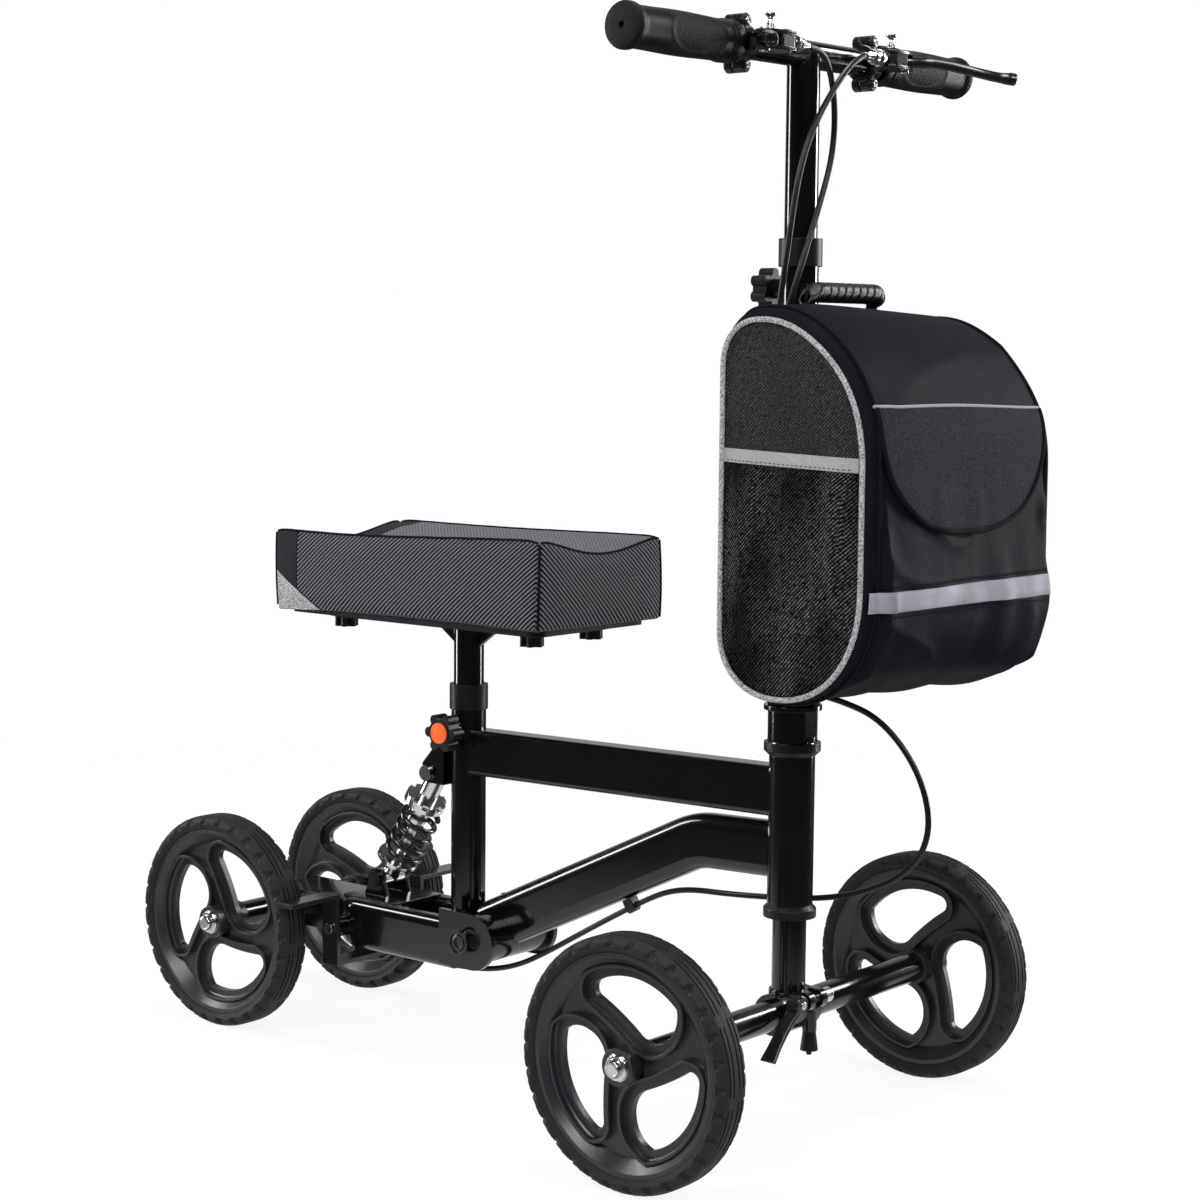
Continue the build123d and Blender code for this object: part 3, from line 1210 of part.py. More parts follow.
def bag_handle():
    """Ribbed carrying handle with two legs down onto the bag's top."""
    x, z = BAG_HANDLE_X, BAG_HANDLE_Z
    half = BAG_HANDLE_HALF
    bar = rod(BAG_HANDLE_R, (x, -half, z), (x, half, z))
    bar = fillet(bar.edges(), BAG_HANDLE_R * 0.5)
    foot_z = BAG_TOP_Z - BAG_HANDLE_LEG
    lean = BAG_HANDLE_LEG_THICK / 2
    for side in (-1, 1):
        y0, y1 = sorted((side * (half - 4), side * (half - 4 - BAG_HANDLE_LEG)))
        leg = polygon(
            (x - BAG_HANDLE_LEG_THICK, z), (x + BAG_HANDLE_LEG_THICK, z),
            (x + BAG_HANDLE_LEG_THICK - lean, foot_z), (x - BAG_HANDLE_LEG_THICK - lean, foot_z),
        )
        bar = bar + side_plate(leg, y0, y1)
    return bar - bag(SOFT)


# ---------------------------------------------------------------- cables
def joiner():
    """Sleeve behind the bag where two lever cables meet the rear one."""
    ends = (JOINER_X, JOINER_Y, JOINER_BOTTOM_Z), (JOINER_X, JOINER_Y, JOINER_TOP_Z)
    return rod(JOINER_R, *ends)


RIGHT_LEVER_ROUTE = [
    (LEVER_PIVOT_X, 1 - ADJUSTER_END_Y, HANDLEBAR_Z), (LEVER_PIVOT_X, -26, 883), (624, -12, 877),
    (620, 1, 865), (618, 9, 848), (617, 12, 824), (616, 9, 798), (615, -1, 771), (614.5, -13, 744),
    (613, -23, 720), (610, -30, 698), (606, -35, 674), (603.5, -37, 646), (602.6, -36.2, 614),
    (JOINER_X, JOINER_Y + JOINER_SPREAD, JOINER_TOP_Z + SOFT),
]
LEFT_LEVER_ROUTE = [
    (LEVER_PIVOT_X, ADJUSTER_END_Y - 1, HANDLEBAR_Z), (LEVER_PIVOT_X + 0.5, 26, 879), (627, 9, 867),
    (626, -7, 850), (624, -21, 831), (620, -31, 808), (618, -38, 784), (616, -42.5, 757),
    (614, -45.5, 728), (610, -46.5, 700), (605.5, -46, 672), (602.5, -45, 643), (601.6, -43, 611),
    (JOINER_X, JOINER_Y - JOINER_SPREAD, JOINER_TOP_Z + SOFT),
]
REAR_ROUTE = [
    (JOINER_X, JOINER_Y, JOINER_BOTTOM_Z - SOFT), (601.6, -37.6, 510), (602.2, -37, 472), (603, -35.5, 436),
    (606, -33.5, 408), (614, -27, 386), (628, -14, 371), (645, 3, 363.5), (663, 17, 353),
    (682, 24, 334), (698, 27, 311), (708, 28, 286), (710, 28, 262), (702, 28, 240),
    (684, 28, 222), (660, 27.5, 209), (633, 27.5, 199), (603, 27.5, 192), (573, 26, 188),
    (545, 17, 187), (520, 6, 187.5), (495, -0.5, 188), (472, -2.5, 184), (450, -3, 175),
    (408, -2.5, 152), (366, -1, 128), (328, 1, 106), (294, 1, 88), (258, 0.5, 77.5),
    (218, 0, 74.5), (176, 0, 74), (146, 0, 75.2), (YOKE_X + YOKE_WIDTH / 2 + SOFT, 0, 77),
]


def lever_cables():
    """The cable of each brake lever, down to the joiner."""
    return group(cable(RIGHT_LEVER_ROUTE), cable(LEFT_LEVER_ROUTE))


def rear_brake_cable():
    """Joiner and the rear brake's cable, round the head and under the lower tube."""
    return group(joiner(), cable(REAR_ROUTE))


def cable_clip():
    """Clip that holds the cable under the lower tube."""
    before, after = Vector(*REAR_ROUTE[23]), Vector(*REAR_ROUTE[24])
    along = (after - before).normalized()
    centre = before + along * ((after - before).length / 2)
    start = centre - along * (CLIP_LENGTH / 2)
    end = centre + along * (CLIP_LENGTH / 2)
    outer = CABLE_R + SOFT + CLIP_WALL
    saddle_plane = Plane(start, x_dir=(0, 1, 0), z_dir=along)
    saddle = Pos(0, -CLIP_RISE / 2, 0) * Box(outer * 2, CLIP_RISE, CLIP_LENGTH, align=BOTTOM)
    saddle = saddle_plane * saddle
    body = rod(outer, start, end) + saddle
    return body - rod(CABLE_R + SOFT / 2, start, end)


# ---------------------------------------------------------------- writing
def write(name, piece):
    """Write one piece, moved so that the origin is the bottom centre of the part."""
    export_step(Pos(-X_CENTRE, 0, 0) * piece, f"parts/{name}.step")


def main():
    """Make and write every piece."""
    os.makedirs("parts", exist_ok=True)
    write("head_tube", head_tube())
    write("top_tube", top_tube())
    write("lower_tube", lower_tube())
    write("seat_tube", seat_tube())
    write("pivot_barrel", pivot_barrel())
    write("shock_upper_bracket", shock_upper_bracket())
    half = BRACKET_INNER + BRACKET_PLATE
    write("shock_upper_bolt", bolt_along_y(SHOCK_BOLT_R, SHOCK_HEAD_R, *SHOCK_TOP, half, 4.0))
    write("headset_cups", headset_cups())
    write("frame_bearings", frame_bearings())
    write("seat_collar", seat_collar())
    write("cable_clip", cable_clip())
    write("rear_brake_cable", rear_brake_cable())
    write("steerer_tube", steerer_tube())
    write("fold_base", fold_base())
    write("axle_clamp", axle_clamp())
    write("front_axle_tube", axle_tube(STEER_X, FRONT_Y))
    write("steering_bolts", steering_bolts())
    write("front_wheel_bearings", wheel_bearings(STEER_X, FRONT_Y))
    write("axle_lever", axle_lever())
    write("axle_plunger", axle_plunger())
    write("fold_head", fold_head())
    write("fold_lever", fold_lever())
    write("column_tube", column_tube())
    write("height_collar", height_collar())
    write("column_knob", column_knob())
    write("bag", bag())
    write("bag_handle", bag_handle())
    write("handlebar_post", handlebar_post())
    write("handlebar", handlebar())
    write("grips", mirrored(grip()))
    write("lever_clamps", mirrored(lever_clamp()))
    write("lever_cables", lever_cables())
    left_lever, left_pin = brake_lever(), park_pin()
    write("brake_lever_left", left_lever)
    write("brake_lever_right", mirror(left_lever, Plane.XZ))
    write("park_pin_left", left_pin)
    write("park_pin_right", mirror(left_pin, Plane.XZ))
    write("seat_post", seat_post())
    write("pad_board", pad_board())
    write("knee_cushion", knee_cushion())
    for number, (x, y) in enumerate(stud_places(), start=1):
        write(f"pad_knob_{number}", pad_knob(x, y))
    write("seat_knob", seat_knob())
    write("swing_arm", swing_arm())
    write("rear_axle_tube", axle_tube(0.0, REAR_Y))
    write("swing_arm_bolts", swing_arm_bolts())
    write("rear_wheel_bearings", wheel_bearings(0.0, REAR_Y))
    write("brake_yoke", brake_yoke())
    write("shock_body", shock_body())
    write("shock_rod", shock_rod())
    write("shock_spring", shock_spring())
    wheel_rim, wheel_tyre = rim(), tyre()
    for name in WHEEL_TURN:
        write(f"{name}_rim", placed_wheel(wheel_rim, name))
        write(f"{name}_tyre", placed_wheel(wheel_tyre, name))


main()
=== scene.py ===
"""Looks of the knee scooter: finishes, soft goods, tread, cables, lights and camera."""

import bpy
import json
import math
from mathutils import Matrix, Vector, noise
from mathutils.bvhtree import BVHTree

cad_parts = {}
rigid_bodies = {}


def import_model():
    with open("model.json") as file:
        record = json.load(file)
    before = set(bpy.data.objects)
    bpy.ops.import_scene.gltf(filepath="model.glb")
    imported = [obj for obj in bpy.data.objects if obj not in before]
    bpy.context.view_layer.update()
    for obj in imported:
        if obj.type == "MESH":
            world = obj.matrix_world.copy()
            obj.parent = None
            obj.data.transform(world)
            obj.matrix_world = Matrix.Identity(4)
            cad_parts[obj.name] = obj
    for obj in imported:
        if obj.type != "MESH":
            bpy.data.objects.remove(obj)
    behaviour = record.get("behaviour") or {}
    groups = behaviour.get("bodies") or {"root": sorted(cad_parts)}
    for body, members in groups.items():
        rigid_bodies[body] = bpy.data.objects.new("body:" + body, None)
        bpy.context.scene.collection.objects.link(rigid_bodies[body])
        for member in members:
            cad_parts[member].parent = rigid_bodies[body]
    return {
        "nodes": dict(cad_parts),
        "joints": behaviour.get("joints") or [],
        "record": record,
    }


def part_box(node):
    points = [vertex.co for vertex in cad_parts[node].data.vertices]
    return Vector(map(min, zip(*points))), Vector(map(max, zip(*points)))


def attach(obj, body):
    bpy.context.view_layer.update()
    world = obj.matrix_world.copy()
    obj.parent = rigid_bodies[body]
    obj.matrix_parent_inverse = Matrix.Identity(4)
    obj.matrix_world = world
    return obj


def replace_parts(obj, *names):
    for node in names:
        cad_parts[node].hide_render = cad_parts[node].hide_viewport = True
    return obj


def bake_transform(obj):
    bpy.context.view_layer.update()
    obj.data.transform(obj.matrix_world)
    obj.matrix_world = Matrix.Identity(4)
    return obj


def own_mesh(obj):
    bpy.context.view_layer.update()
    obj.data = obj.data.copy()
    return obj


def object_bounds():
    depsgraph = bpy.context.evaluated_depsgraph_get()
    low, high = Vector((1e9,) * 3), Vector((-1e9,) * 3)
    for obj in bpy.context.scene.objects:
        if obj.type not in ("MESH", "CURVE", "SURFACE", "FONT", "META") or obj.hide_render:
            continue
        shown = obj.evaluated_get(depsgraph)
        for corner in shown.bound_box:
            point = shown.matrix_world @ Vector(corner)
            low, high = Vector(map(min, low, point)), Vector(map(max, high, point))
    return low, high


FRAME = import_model()
CAD_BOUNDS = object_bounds()
NODES = FRAME["nodes"]
MM = 0.001


# ---------------------------------------------------------------- small sums
def left_or_right(side):
    """The name of a side: 1 is left, -1 is right."""
    return "left" if side > 0 else "right"


def smoothstep(low, high, value):
    """0 below low, 1 above high, and a smooth rise between."""
    share = min(1.0, max(0.0, (value - low) / (high - low)))
    return share * share * (3 - 2 * share)


def signed(value, power):
    """A power of a number's size, with the number's sign."""
    return math.copysign(abs(value) ** power, value)


def circle(steps):
    """Cosine and sine at even steps round a circle."""
    return [(math.cos(2 * math.pi * i / steps), math.sin(2 * math.pi * i / steps)) for i in range(steps)]


def spread(low, high, steps):
    """Evenly spaced numbers from low to high, both ends included."""
    return [low + (high - low) * i / steps for i in range(steps + 1)]


# ---------------------------------------------------------------- places read from the frame
def centre(node):
    """Middle of a CAD node's box."""
    low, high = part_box(node)
    return (low + high) / 2


STEER = centre("head_tube")
ROUTE_SHIFT = Vector((STEER.x - 0.594, 0, 0))  # the cable routes are written with the rear axle at x = 0
WHEELS = ("front_right", "front_left", "rear_right", "rear_left")


# ---------------------------------------------------------------- shader arithmetic
class Val:
    """A number worked out by shader nodes, so that patterns read as formulas."""

    def __init__(self, tree, socket):
        self.tree = tree
        self.socket = socket

    def math(self, operation, *others):
        node = self.tree.nodes.new("ShaderNodeMath")
        node.operation = operation
        for slot, value in enumerate((self, *others)):
            if isinstance(value, Val):
                self.tree.links.new(value.socket, node.inputs[slot])
            else:
                node.inputs[slot].default_value = value
        return Val(self.tree, node.outputs[0])

    def __add__(self, other):
        return self.math("ADD", other)

    def __sub__(self, other):
        return self.math("SUBTRACT", other)

    def __mul__(self, other):
        return self.math("MULTIPLY", other)

    def above(self, limit):
        return self.math("GREATER_THAN", limit)

    def below(self, limit):
        return self.math("LESS_THAN", limit)

    def wave(self, pitch):
        """A sine of this value, from 0 to 1, once every pitch."""
        return (self * (2 * math.pi / pitch)).math("SINE") * 0.5 + 0.5

    def near(self, place, width):
        """1 within half a width of a place, 0 elsewhere."""
        return (self - place).math("ABSOLUTE").below(width / 2)

    def clamped(self):
        """This value kept between 0 and 1."""
        return self.math("MAXIMUM", 0.0).math("MINIMUM", 1.0)

    def mix(self, other, share):
        """This value, or the other where share is 1."""
        return self + (other - self) * share


def split(tree, socket):
    """The three numbers of a vector."""
    node = tree.nodes.new("ShaderNodeSeparateXYZ")
    tree.links.new(socket, node.inputs[0])
    return [Val(tree, out) for out in node.outputs]


def coordinates(tree):
    """Place and normal of the point shaded, on the piece's own axes."""
    node = tree.nodes.new("ShaderNodeTexCoord")
    return split(tree, node.outputs["Object"]), split(tree, node.outputs["Normal"])


def clouds(tree, scale, detail=3.0, stretch=None):
    """Soft noise in the piece's own space."""
    place = tree.nodes.new("ShaderNodeTexCoord").outputs["Object"]
    if stretch:
        mapping = tree.nodes.new("ShaderNodeMapping")
        mapping.inputs["Scale"].default_value = stretch
        tree.links.new(place, mapping.inputs["Vector"])
        place = mapping.outputs["Vector"]
    node = tree.nodes.new("ShaderNodeTexNoise")
    node.inputs["Scale"].default_value = scale
    node.inputs["Detail"].default_value = detail
    tree.links.new(place, node.inputs["Vector"])
    return Val(tree, node.outputs[0])


def material(name, colour, roughness, **settings):
    """A Principled material and its node tree."""
    made = bpy.data.materials.new(name)
    made.use_nodes = True
    shader = made.node_tree.nodes["Principled BSDF"]
    shader.inputs["Base Color"].default_value = (*colour, 1)
    shader.inputs["Roughness"].default_value = roughness
    for key, value in settings.items():
        shader.inputs[key.replace("_", " ").title().replace("Ior", "IOR")].default_value = value
    return made


def shader_of(made):
    return made.node_tree.nodes["Principled BSDF"]


def bump(made, height, distance, strength=1.0, edge=0.0):
    """Raises the surface by a pattern, over edges softened to a small radius."""
    tree = made.node_tree
    node = tree.nodes.new("ShaderNodeBump")
    node.inputs["Distance"].default_value = distance
    node.inputs["Strength"].default_value = strength
    tree.links.new(height.socket, node.inputs["Height"])
    if edge:
        soft = tree.nodes.new("ShaderNodeBevel")
        soft.samples = 6
        soft.inputs["Radius"].default_value = edge
        tree.links.new(soft.outputs["Normal"], node.inputs["Normal"])
    tree.links.new(node.outputs["Normal"], shader_of(made).inputs["Normal"])


def tint(made, share, low, high):
    """Colour between two by a pattern."""
    tree = made.node_tree
    tree.links.new(blended(tree, share, low, high), shader_of(made).inputs["Base Color"])


def gloss(made, value):
    """Roughness from a pattern."""
    made.node_tree.links.new(value.socket, shader_of(made).inputs["Roughness"])


# ---------------------------------------------------------------- finishes
def moulded(name, colour, roughness, grain=1.0, shine=0.27):
    """Moulded plastic with a fine spark-eroded grain and faint handling marks."""
    made = material(name, colour, roughness, specular_ior_level=shine)
    tree = made.node_tree
    fine, broad = clouds(tree, 1400, 2), clouds(tree, 30, 4)
    bump(made, fine, 0.00025 * grain, 0.5, 0.9 * MM)
    gloss(made, broad * 0.16 + (roughness - 0.08))
    tint(made, broad, tuple(c * 0.8 for c in colour), tuple(c * 1.25 for c in colour))
    return made


def painted(name, colour, roughness):
    """Glossy powder coat with slight orange peel."""
    made = material(name, colour, roughness, coat_weight=0.35, coat_roughness=0.05,
                    specular_ior_level=0.4)
    tree = made.node_tree
    bump(made, clouds(tree, 220, 2) + clouds(tree, 900, 1) * 0.3, 0.00006, 0.35, 1.0 * MM)
    gloss(made, clouds(tree, 14, 3) * 0.10 + (roughness - 0.05))
    return made


def plated(name, colour, roughness):
    """Plated or polished metal, with fine turning marks."""
    made = material(name, colour, roughness, metallic=1.0)
    tree = made.node_tree
    marks = clouds(tree, 500, 2)
    bump(made, marks, 0.00004, 0.4, 0.4 * MM)
    gloss(made, clouds(tree, 60, 3) * 0.14 + (roughness - 0.05))
    tint(made, marks, tuple(c * 0.82 for c in colour), colour)
    return made


def tyre_finish():
    """Dull rubber with fine pores and faint mould bloom."""
    made = material("tyre_rubber", (0.01, 0.01, 0.012), 0.58, specular_ior_level=0.22)
    tree = made.node_tree
    pores, bloom = clouds(tree, 1100, 3), clouds(tree, 22, 5)
    bump(made, pores, 0.0003, 0.45)
    tint(made, bloom, (0.0065, 0.0065, 0.0080), (0.0135, 0.0135, 0.0165))
    gloss(made, bloom * 0.2 + 0.5)
    return made


def grip_finish():
    """Soft rubber, stippled on the palm pads and end cap."""
    made = material("grip_rubber", (0.0035, 0.0035, 0.0045), 0.42, specular_ior_level=0.14)
    tree = made.node_tree
    (x, y, _), _ = coordinates(tree)
    span = y.math("ABSOLUTE")
    pad = span.near(0.155, 0.066) * (x - STEER.x).above(0.004)
    rough = pad + span.above(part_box("grips")[1].y - 0.0045)
    stipple = clouds(tree, 700, 1) * rough.math("MINIMUM", 1.0)
    bump(made, stipple + clouds(tree, 1800, 1) * 0.2, 0.0009, 0.8)
    gloss(made, rough * 0.2 + 0.38)
    return made


def fabric(name, colour, roughness=0.85, sheen=0.03, shine=0.06):
    """Cloth with a soft sheen and little direct shine."""
    return material(name, colour, roughness, sheen_weight=sheen, sheen_roughness=0.5,
                    specular_ior_level=shine)


def panel_plane(tree):
    """Two running lengths across whichever panel a point lies on, and masks of side, end and top."""
    (x, y, z), normal = coordinates(tree)
    side, end = (normal[i].math("ABSOLUTE").above(0.6) for i in (1, 0))
    return x.mix(y, end), y.mix(z, side.math("MAXIMUM", end)), side, end, normal[2].above(0.6)


def blended(tree, share, low, high):
    """One colour or the other by a share."""
    node = tree.nodes.new("ShaderNodeMix")
    node.data_type = "RGBA"
    tree.links.new(share.socket, node.inputs[0])
    for socket, colour in ((6, low), (7, high)):
        if isinstance(colour, tuple):
            node.inputs[socket].default_value = (*colour, 1)
        else:
            tree.links.new(colour, node.inputs[socket])
    return node.outputs[2]


def pad_finish():
    """Twill on the pad's sides and end, close weave on top made lighter as painted light from above, plain band
    and grey corner behind.
    """
    made = fabric("pad_cover", (0.03, 0.03, 0.033), 0.6, 0.02, 0.05)
    tree = made.node_tree
    (x, y, z), _ = coordinates(tree)
    across, up, side, end, top = panel_plane(tree)
    low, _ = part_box("knee_cushion")
    band_edge, patch_edge = 0.031, 0.060
    steep = end * 2.32 - 1.25
    along, over = across + up * steep, across - up * steep
    rib = ((along.mix(along * 0.98, end).wave(0.0050) - 0.40) * 2.8).clamped()
    twill = rib * (over.wave(0.0034) * 0.45 + 0.55)
    # the top's close weave sits nearer the light colour: partly its own weave, partly painted light from above
    weave = twill.mix((x + y).wave(0.0042) * (x - y).wave(0.0042) * 1.1 + 0.36, top)
    from_rear = x - low.x
    corner = (z - low.z) * 1.667 + from_rear
    band = from_rear.below(band_edge)
    patch = corner.below(patch_edge) * side
    yarn = ((clouds(tree, 620, 3, (1.0, 1.0, 2.0)) - 0.36) * 3.4).clamped()
    band_seam = from_rear.near(band_edge, 0.0016) * (patch * -1.0 + 1.0)
    seam = band_seam.math("MAXIMUM", corner.near(patch_edge, 0.0028) * side)
    cloth = blended(tree, weave, (0.0018, 0.0018, 0.0026), (0.150, 0.149, 0.168))
    cloth = blended(tree, band, cloth, (0.0095, 0.0095, 0.0125))
    grey = blended(tree, yarn, (0.075, 0.075, 0.08), (0.42, 0.42, 0.43))
    cloth = blended(tree, patch, cloth, grey)
    tint(made, seam, cloth, (0.002, 0.002, 0.002))
    plain = clouds(tree, 1500, 2) * 0.3
    bump(made, weave.mix(plain, band.math("MAXIMUM", patch)) - seam * 1.5, 0.0006, 0.7)
    return made


def nylon(name, dark, light):
    """Coated nylon: fine threads, a soft sheen over the folds painted into its colour as lighter broad clouds,
    and roughness that varies with it.
    """
    made = fabric(name, dark, 0.5, 0.0, 0.022)
    tree = made.node_tree
    across, up, _, _, _ = panel_plane(tree)
    threads = across.wave(0.0011) * 0.5 + up.wave(0.0011) * 0.5
    broad = clouds(tree, 26, 5)
    # painted sheen: the colour goes from dark to light over broad clouds
    tint(made, broad, dark, light)
    bump(made, threads * 0.6 + clouds(tree, 90, 4) * 2.0, 0.0006, 0.5)
    gloss(made, broad * 0.2 + 0.38)
    return made


def netting(name, pitch, thread, gap, patchy):
    """Open knitted mesh over a dark lining, with painted glints on its threads here and there and painted light
    and shade in broad patches over its folds.
    """
    made = fabric(name, thread, 0.7, 0.0, 0.0)
    tree = made.node_tree
    across, up, _, _, _ = panel_plane(tree)
    rows, knots = (across - up).wave(pitch), (across + up).wave(pitch)
    strand = rows * rows * (knots * 0.7 + 0.3)
    # painted glints: scattered spots where the threads reach their full bright colour
    glint = ((clouds(tree, 420, 2) - 0.30) * 2.4).clamped()
    # painted light and shade in broad upright patches over the folds; patchy sets how strong they are
    light = ((clouds(tree, 24, 2, (1.0, 1.0, 0.4)) - 0.36) * 3.6).clamped() * patchy + (1.0 - patchy)
    tint(made, strand * glint * light, gap, thread)
    bump(made, strand, 0.0007, 0.9)
    return made


def heather(name, low, high, scale=700):
    """Grey mixed yarn."""
    made = fabric(name, low, 0.8, 0.01, 0.03)
    tree = made.node_tree
    yarn = clouds(tree, scale, 3)
    tint(made, ((yarn - 0.32) * 2.8).clamped(), low, high)
    bump(made, yarn, 0.0005, 0.8)
    return made


def reflector():
    """Silver reflective tape of glass beads, brighter in soft upright bands."""
    made = material("reflective_tape", (0.3, 0.3, 0.34), 0.6, specular_ior_level=0.15)
    tree = made.node_tree
    bands = clouds(tree, 22, 3, (1.0, 1.0, 0.1))
    tint(made, ((bands - 0.35) * 3.0).clamped(), (0.155, 0.155, 0.18), (0.29, 0.29, 0.33))
    bump(made, clouds(tree, 2500, 1), 0.0002, 0.4)
    return made


FINISH = {
    "frame_paint": painted("frame_paint", (0.0030, 0.0030, 0.0033), 0.15),
    "black_plastic": moulded("black_plastic", (0.0065, 0.0065, 0.0078), 0.34),
    "bright_steel": plated("bright_steel", (0.78, 0.78, 0.80), 0.16),
    "black_alloy": painted("black_alloy", (0.0060, 0.0060, 0.0068), 0.24),
    "black_steel": painted("black_steel", (0.007, 0.007, 0.008), 0.24),
    "grip_rubber": grip_finish(),
    "cable_sheath": moulded("cable_sheath", (0.008, 0.008, 0.009), 0.3, 0.5),
    # board made near black: partly its own dark plastic, partly painted shade under the pad's edge
    "board": moulded("board", (0.0035, 0.0035, 0.0045), 0.6),
    "pad_cover": pad_finish(),
    # bag cloth: a dark base colour, and a lighter colour that is painted sheen
    "bag_cloth": nylon("bag_cloth", (0.0030, 0.0030, 0.0055), (0.0075, 0.0075, 0.0120)),
    "rim_plastic": moulded("rim_plastic", (0.0150, 0.0150, 0.0185), 0.30, 0.7, 0.45),
    "tyre_rubber": tyre_finish(),
}
PIPING = heather("grey_piping", (0.07, 0.07, 0.075), (0.42, 0.42, 0.43))
BAND = heather("grey_band", (0.19, 0.185, 0.19), (0.34, 0.33, 0.34), 1600)
BINDING = heather("black_binding", (0.0025, 0.0025, 0.0035), (0.008, 0.008, 0.010), 1500)
# the thread colours are the threads under full painted glint and painted light
NET_FINE = netting("side_net_fine", 0.0030, (0.150, 0.150, 0.160), (0.0120, 0.0120, 0.0135), 0.35)
NET_OPEN = netting("pocket_net", 0.0032, (0.26, 0.26, 0.275), (0.0016, 0.0016, 0.0022), 0.80)
FLAP_CLOTH = heather("flap_cloth", (0.007, 0.007, 0.010), (0.034, 0.034, 0.042), 900)
POCKET_CLOTH = heather("pocket_cloth", (0.004, 0.004, 0.0065), (0.013, 0.013, 0.018), 1200)
TAPE = reflector()
ORANGE = moulded("orange_cap", (0.85, 0.10, 0.015), 0.35)
RED = moulded("red_cap", (0.55, 0.01, 0.01), 0.35)
# near-black colour for the bolt sockets: painted shade in the recess
PAINTED_SHADE = moulded("painted_recess_shade", (0.004, 0.004, 0.004), 0.6)


def slot_of(node):
    """The record's material slot of a CAD node."""
    return next(s["material_slot"] for s in FRAME["record"]["subparts"] if s["node"] == node)


def finish_cad():
    """Gives every CAD node its finish."""
    for name, piece in NODES.items():
        piece.data.materials.clear()
        piece.data.materials.append(FINISH[slot_of(name)])


# ---------------------------------------------------------------- mesh helpers
def make(name, points, faces, finish, body=None, slot=None, sharp=40):
    """A mesh piece that rides on a body when one is given."""
    if isinstance(finish, str):
        finish, slot = FINISH[finish], slot or finish
    mesh = bpy.data.meshes.new(name)
    mesh.from_pydata([tuple(p) for p in points], [], faces)
    mesh.validate()
    mesh.polygons.foreach_set("use_smooth", [True] * len(mesh.polygons))
    mesh.set_sharp_from_angle(angle=math.radians(sharp))
    for one in finish if isinstance(finish, list) else [finish]:
        mesh.materials.append(one)
    piece = bpy.data.objects.new(name, mesh)
    bpy.context.scene.collection.objects.link(piece)
    if body:
        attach(piece, body)
    return piece


def grid_faces(rows, columns, wrap_rows=False, wrap_columns=False):
    """Quads of a grid of points, row by row."""
    faces = []
    for r in range(rows if wrap_rows else rows - 1):
        for c in range(columns if wrap_columns else columns - 1):
            r2, c2 = (r + 1) % rows, (c + 1) % columns
            faces.append((r * columns + c, r * columns + c2, r2 * columns + c2, r2 * columns + c))
    return faces


def closed_faces(rows, columns):
    """Quads round a run of closed rings, and a face over each end."""
    ends = [tuple(range(columns - 1, -1, -1)), tuple(range((rows - 1) * columns, rows * columns))]
    return grid_faces(rows, columns, False, True) + ends


def turned_over(faces, wanted):
    """The faces, facing the other way if wanted."""
    return [tuple(reversed(face)) for face in faces] if wanted else faces


def axes_to(direction):
    """Two directions square to this one."""
    direction = Vector(direction).normalized()
    side = direction.orthogonal().normalized()
    return side, direction.cross(side)


def lathe(name, profile, origin, direction, finish, body, steps=48, sharp=35, slot=None):
    """A turned piece: (radius, height) points in mm about a line."""
    direction = Vector(direction).normalized()
    side, other = axes_to(direction)
    points = [Vector(origin) + direction * (height * MM) + (side * c + other * d) * (radius * MM)
              for radius, height in profile for c, d in circle(steps)]
    return make(name, points, grid_faces(len(profile), steps, False, True), finish, body, slot, sharp)


def slab(name, outline, start, end, finish, body):
    """A level plate with softened edges, from its outline in x and y."""
    points = [Vector((x, y, z)) for z in (start, end) for x, y in outline]
    n = len(outline)
    pairs = list(zip(outline, outline[1:] + outline[:1]))
    up = sum(a[0] * b[1] - b[0] * a[1] for a, b in pairs) > 0
    faces = [tuple(range(n)), tuple(range(n, 2 * n))]
    faces[0 if up else 1] = tuple(reversed(faces[0 if up else 1]))
    sides = [(i, (i + 1) % n, n + (i + 1) % n, n + i) for i in range(n)]
    piece = make(name, points, faces + turned_over(sides, not up), finish, body, None, 35)
    soft = piece.modifiers.new("edges", "BEVEL")
    soft.width, soft.segments, soft.limit_method = 0.8 * MM, 2, "ANGLE"
    soft.angle_limit = math.radians(35)


def frames_along(line):
    """Sideways directions carried along a line of points without twist."""
    last = len(line) - 1
    tangents = [(line[min(i + 1, last)] - line[max(i - 1, 0)]).normalized() for i in range(len(line))]
    side = tangents[0].orthogonal().normalized()
    frames = []
    for tangent in tangents:
        side = (side - tangent * side.dot(tangent)).normalized()
        frames.append((side, tangent.cross(side)))
    return frames


def tube(name, line, radius, finish, body=None, steps=12, closed=False, slot=None):
    """A round tube along a line of points, its radius in mm."""
    line = [Vector(p) for p in line]
    points = [place + (side * c + other * d) * (radius * MM)
              for place, (side, other) in zip(line, frames_along(line)) for c, d in circle(steps)]
    faces = grid_faces(len(line), steps, True, True) if closed else closed_faces(len(line), steps)
    return make(name, points, faces, finish, body, slot)


def nurbs_line(points):
    """The smooth line of a NURBS cable through its route, as points."""
    curve = bpy.data.curves.new("route", "CURVE")
    curve.dimensions = "3D"
    curve.resolution_u = 12
    spline = curve.splines.new("NURBS")
    spline.points.add(len(points) - 1)
    for slot, point in zip(spline.points, points):
        slot.co = (*point, 1)
    spline.order_u = 3
    spline.use_endpoint_u = True
    holder = bpy.data.objects.new("route", curve)
    bpy.context.scene.collection.objects.link(holder)
    bpy.context.view_layer.update()
    mesh = bpy.data.meshes.new_from_object(holder)
    line = [v.co.copy() for v in mesh.vertices]
    bpy.data.objects.remove(holder)
    bpy.data.meshes.remove(mesh)
    return line


def tree_of(piece):
    """A search tree of a piece's surface."""
    mesh = piece.data
    points = [v.co.copy() for v in mesh.vertices]
    return BVHTree.FromPolygons(points, [tuple(p.vertices) for p in mesh.polygons])


# ---------------------------------------------------------------- wheels
TYRE_NOTCHES = 30
TYRE_STEPS = 12


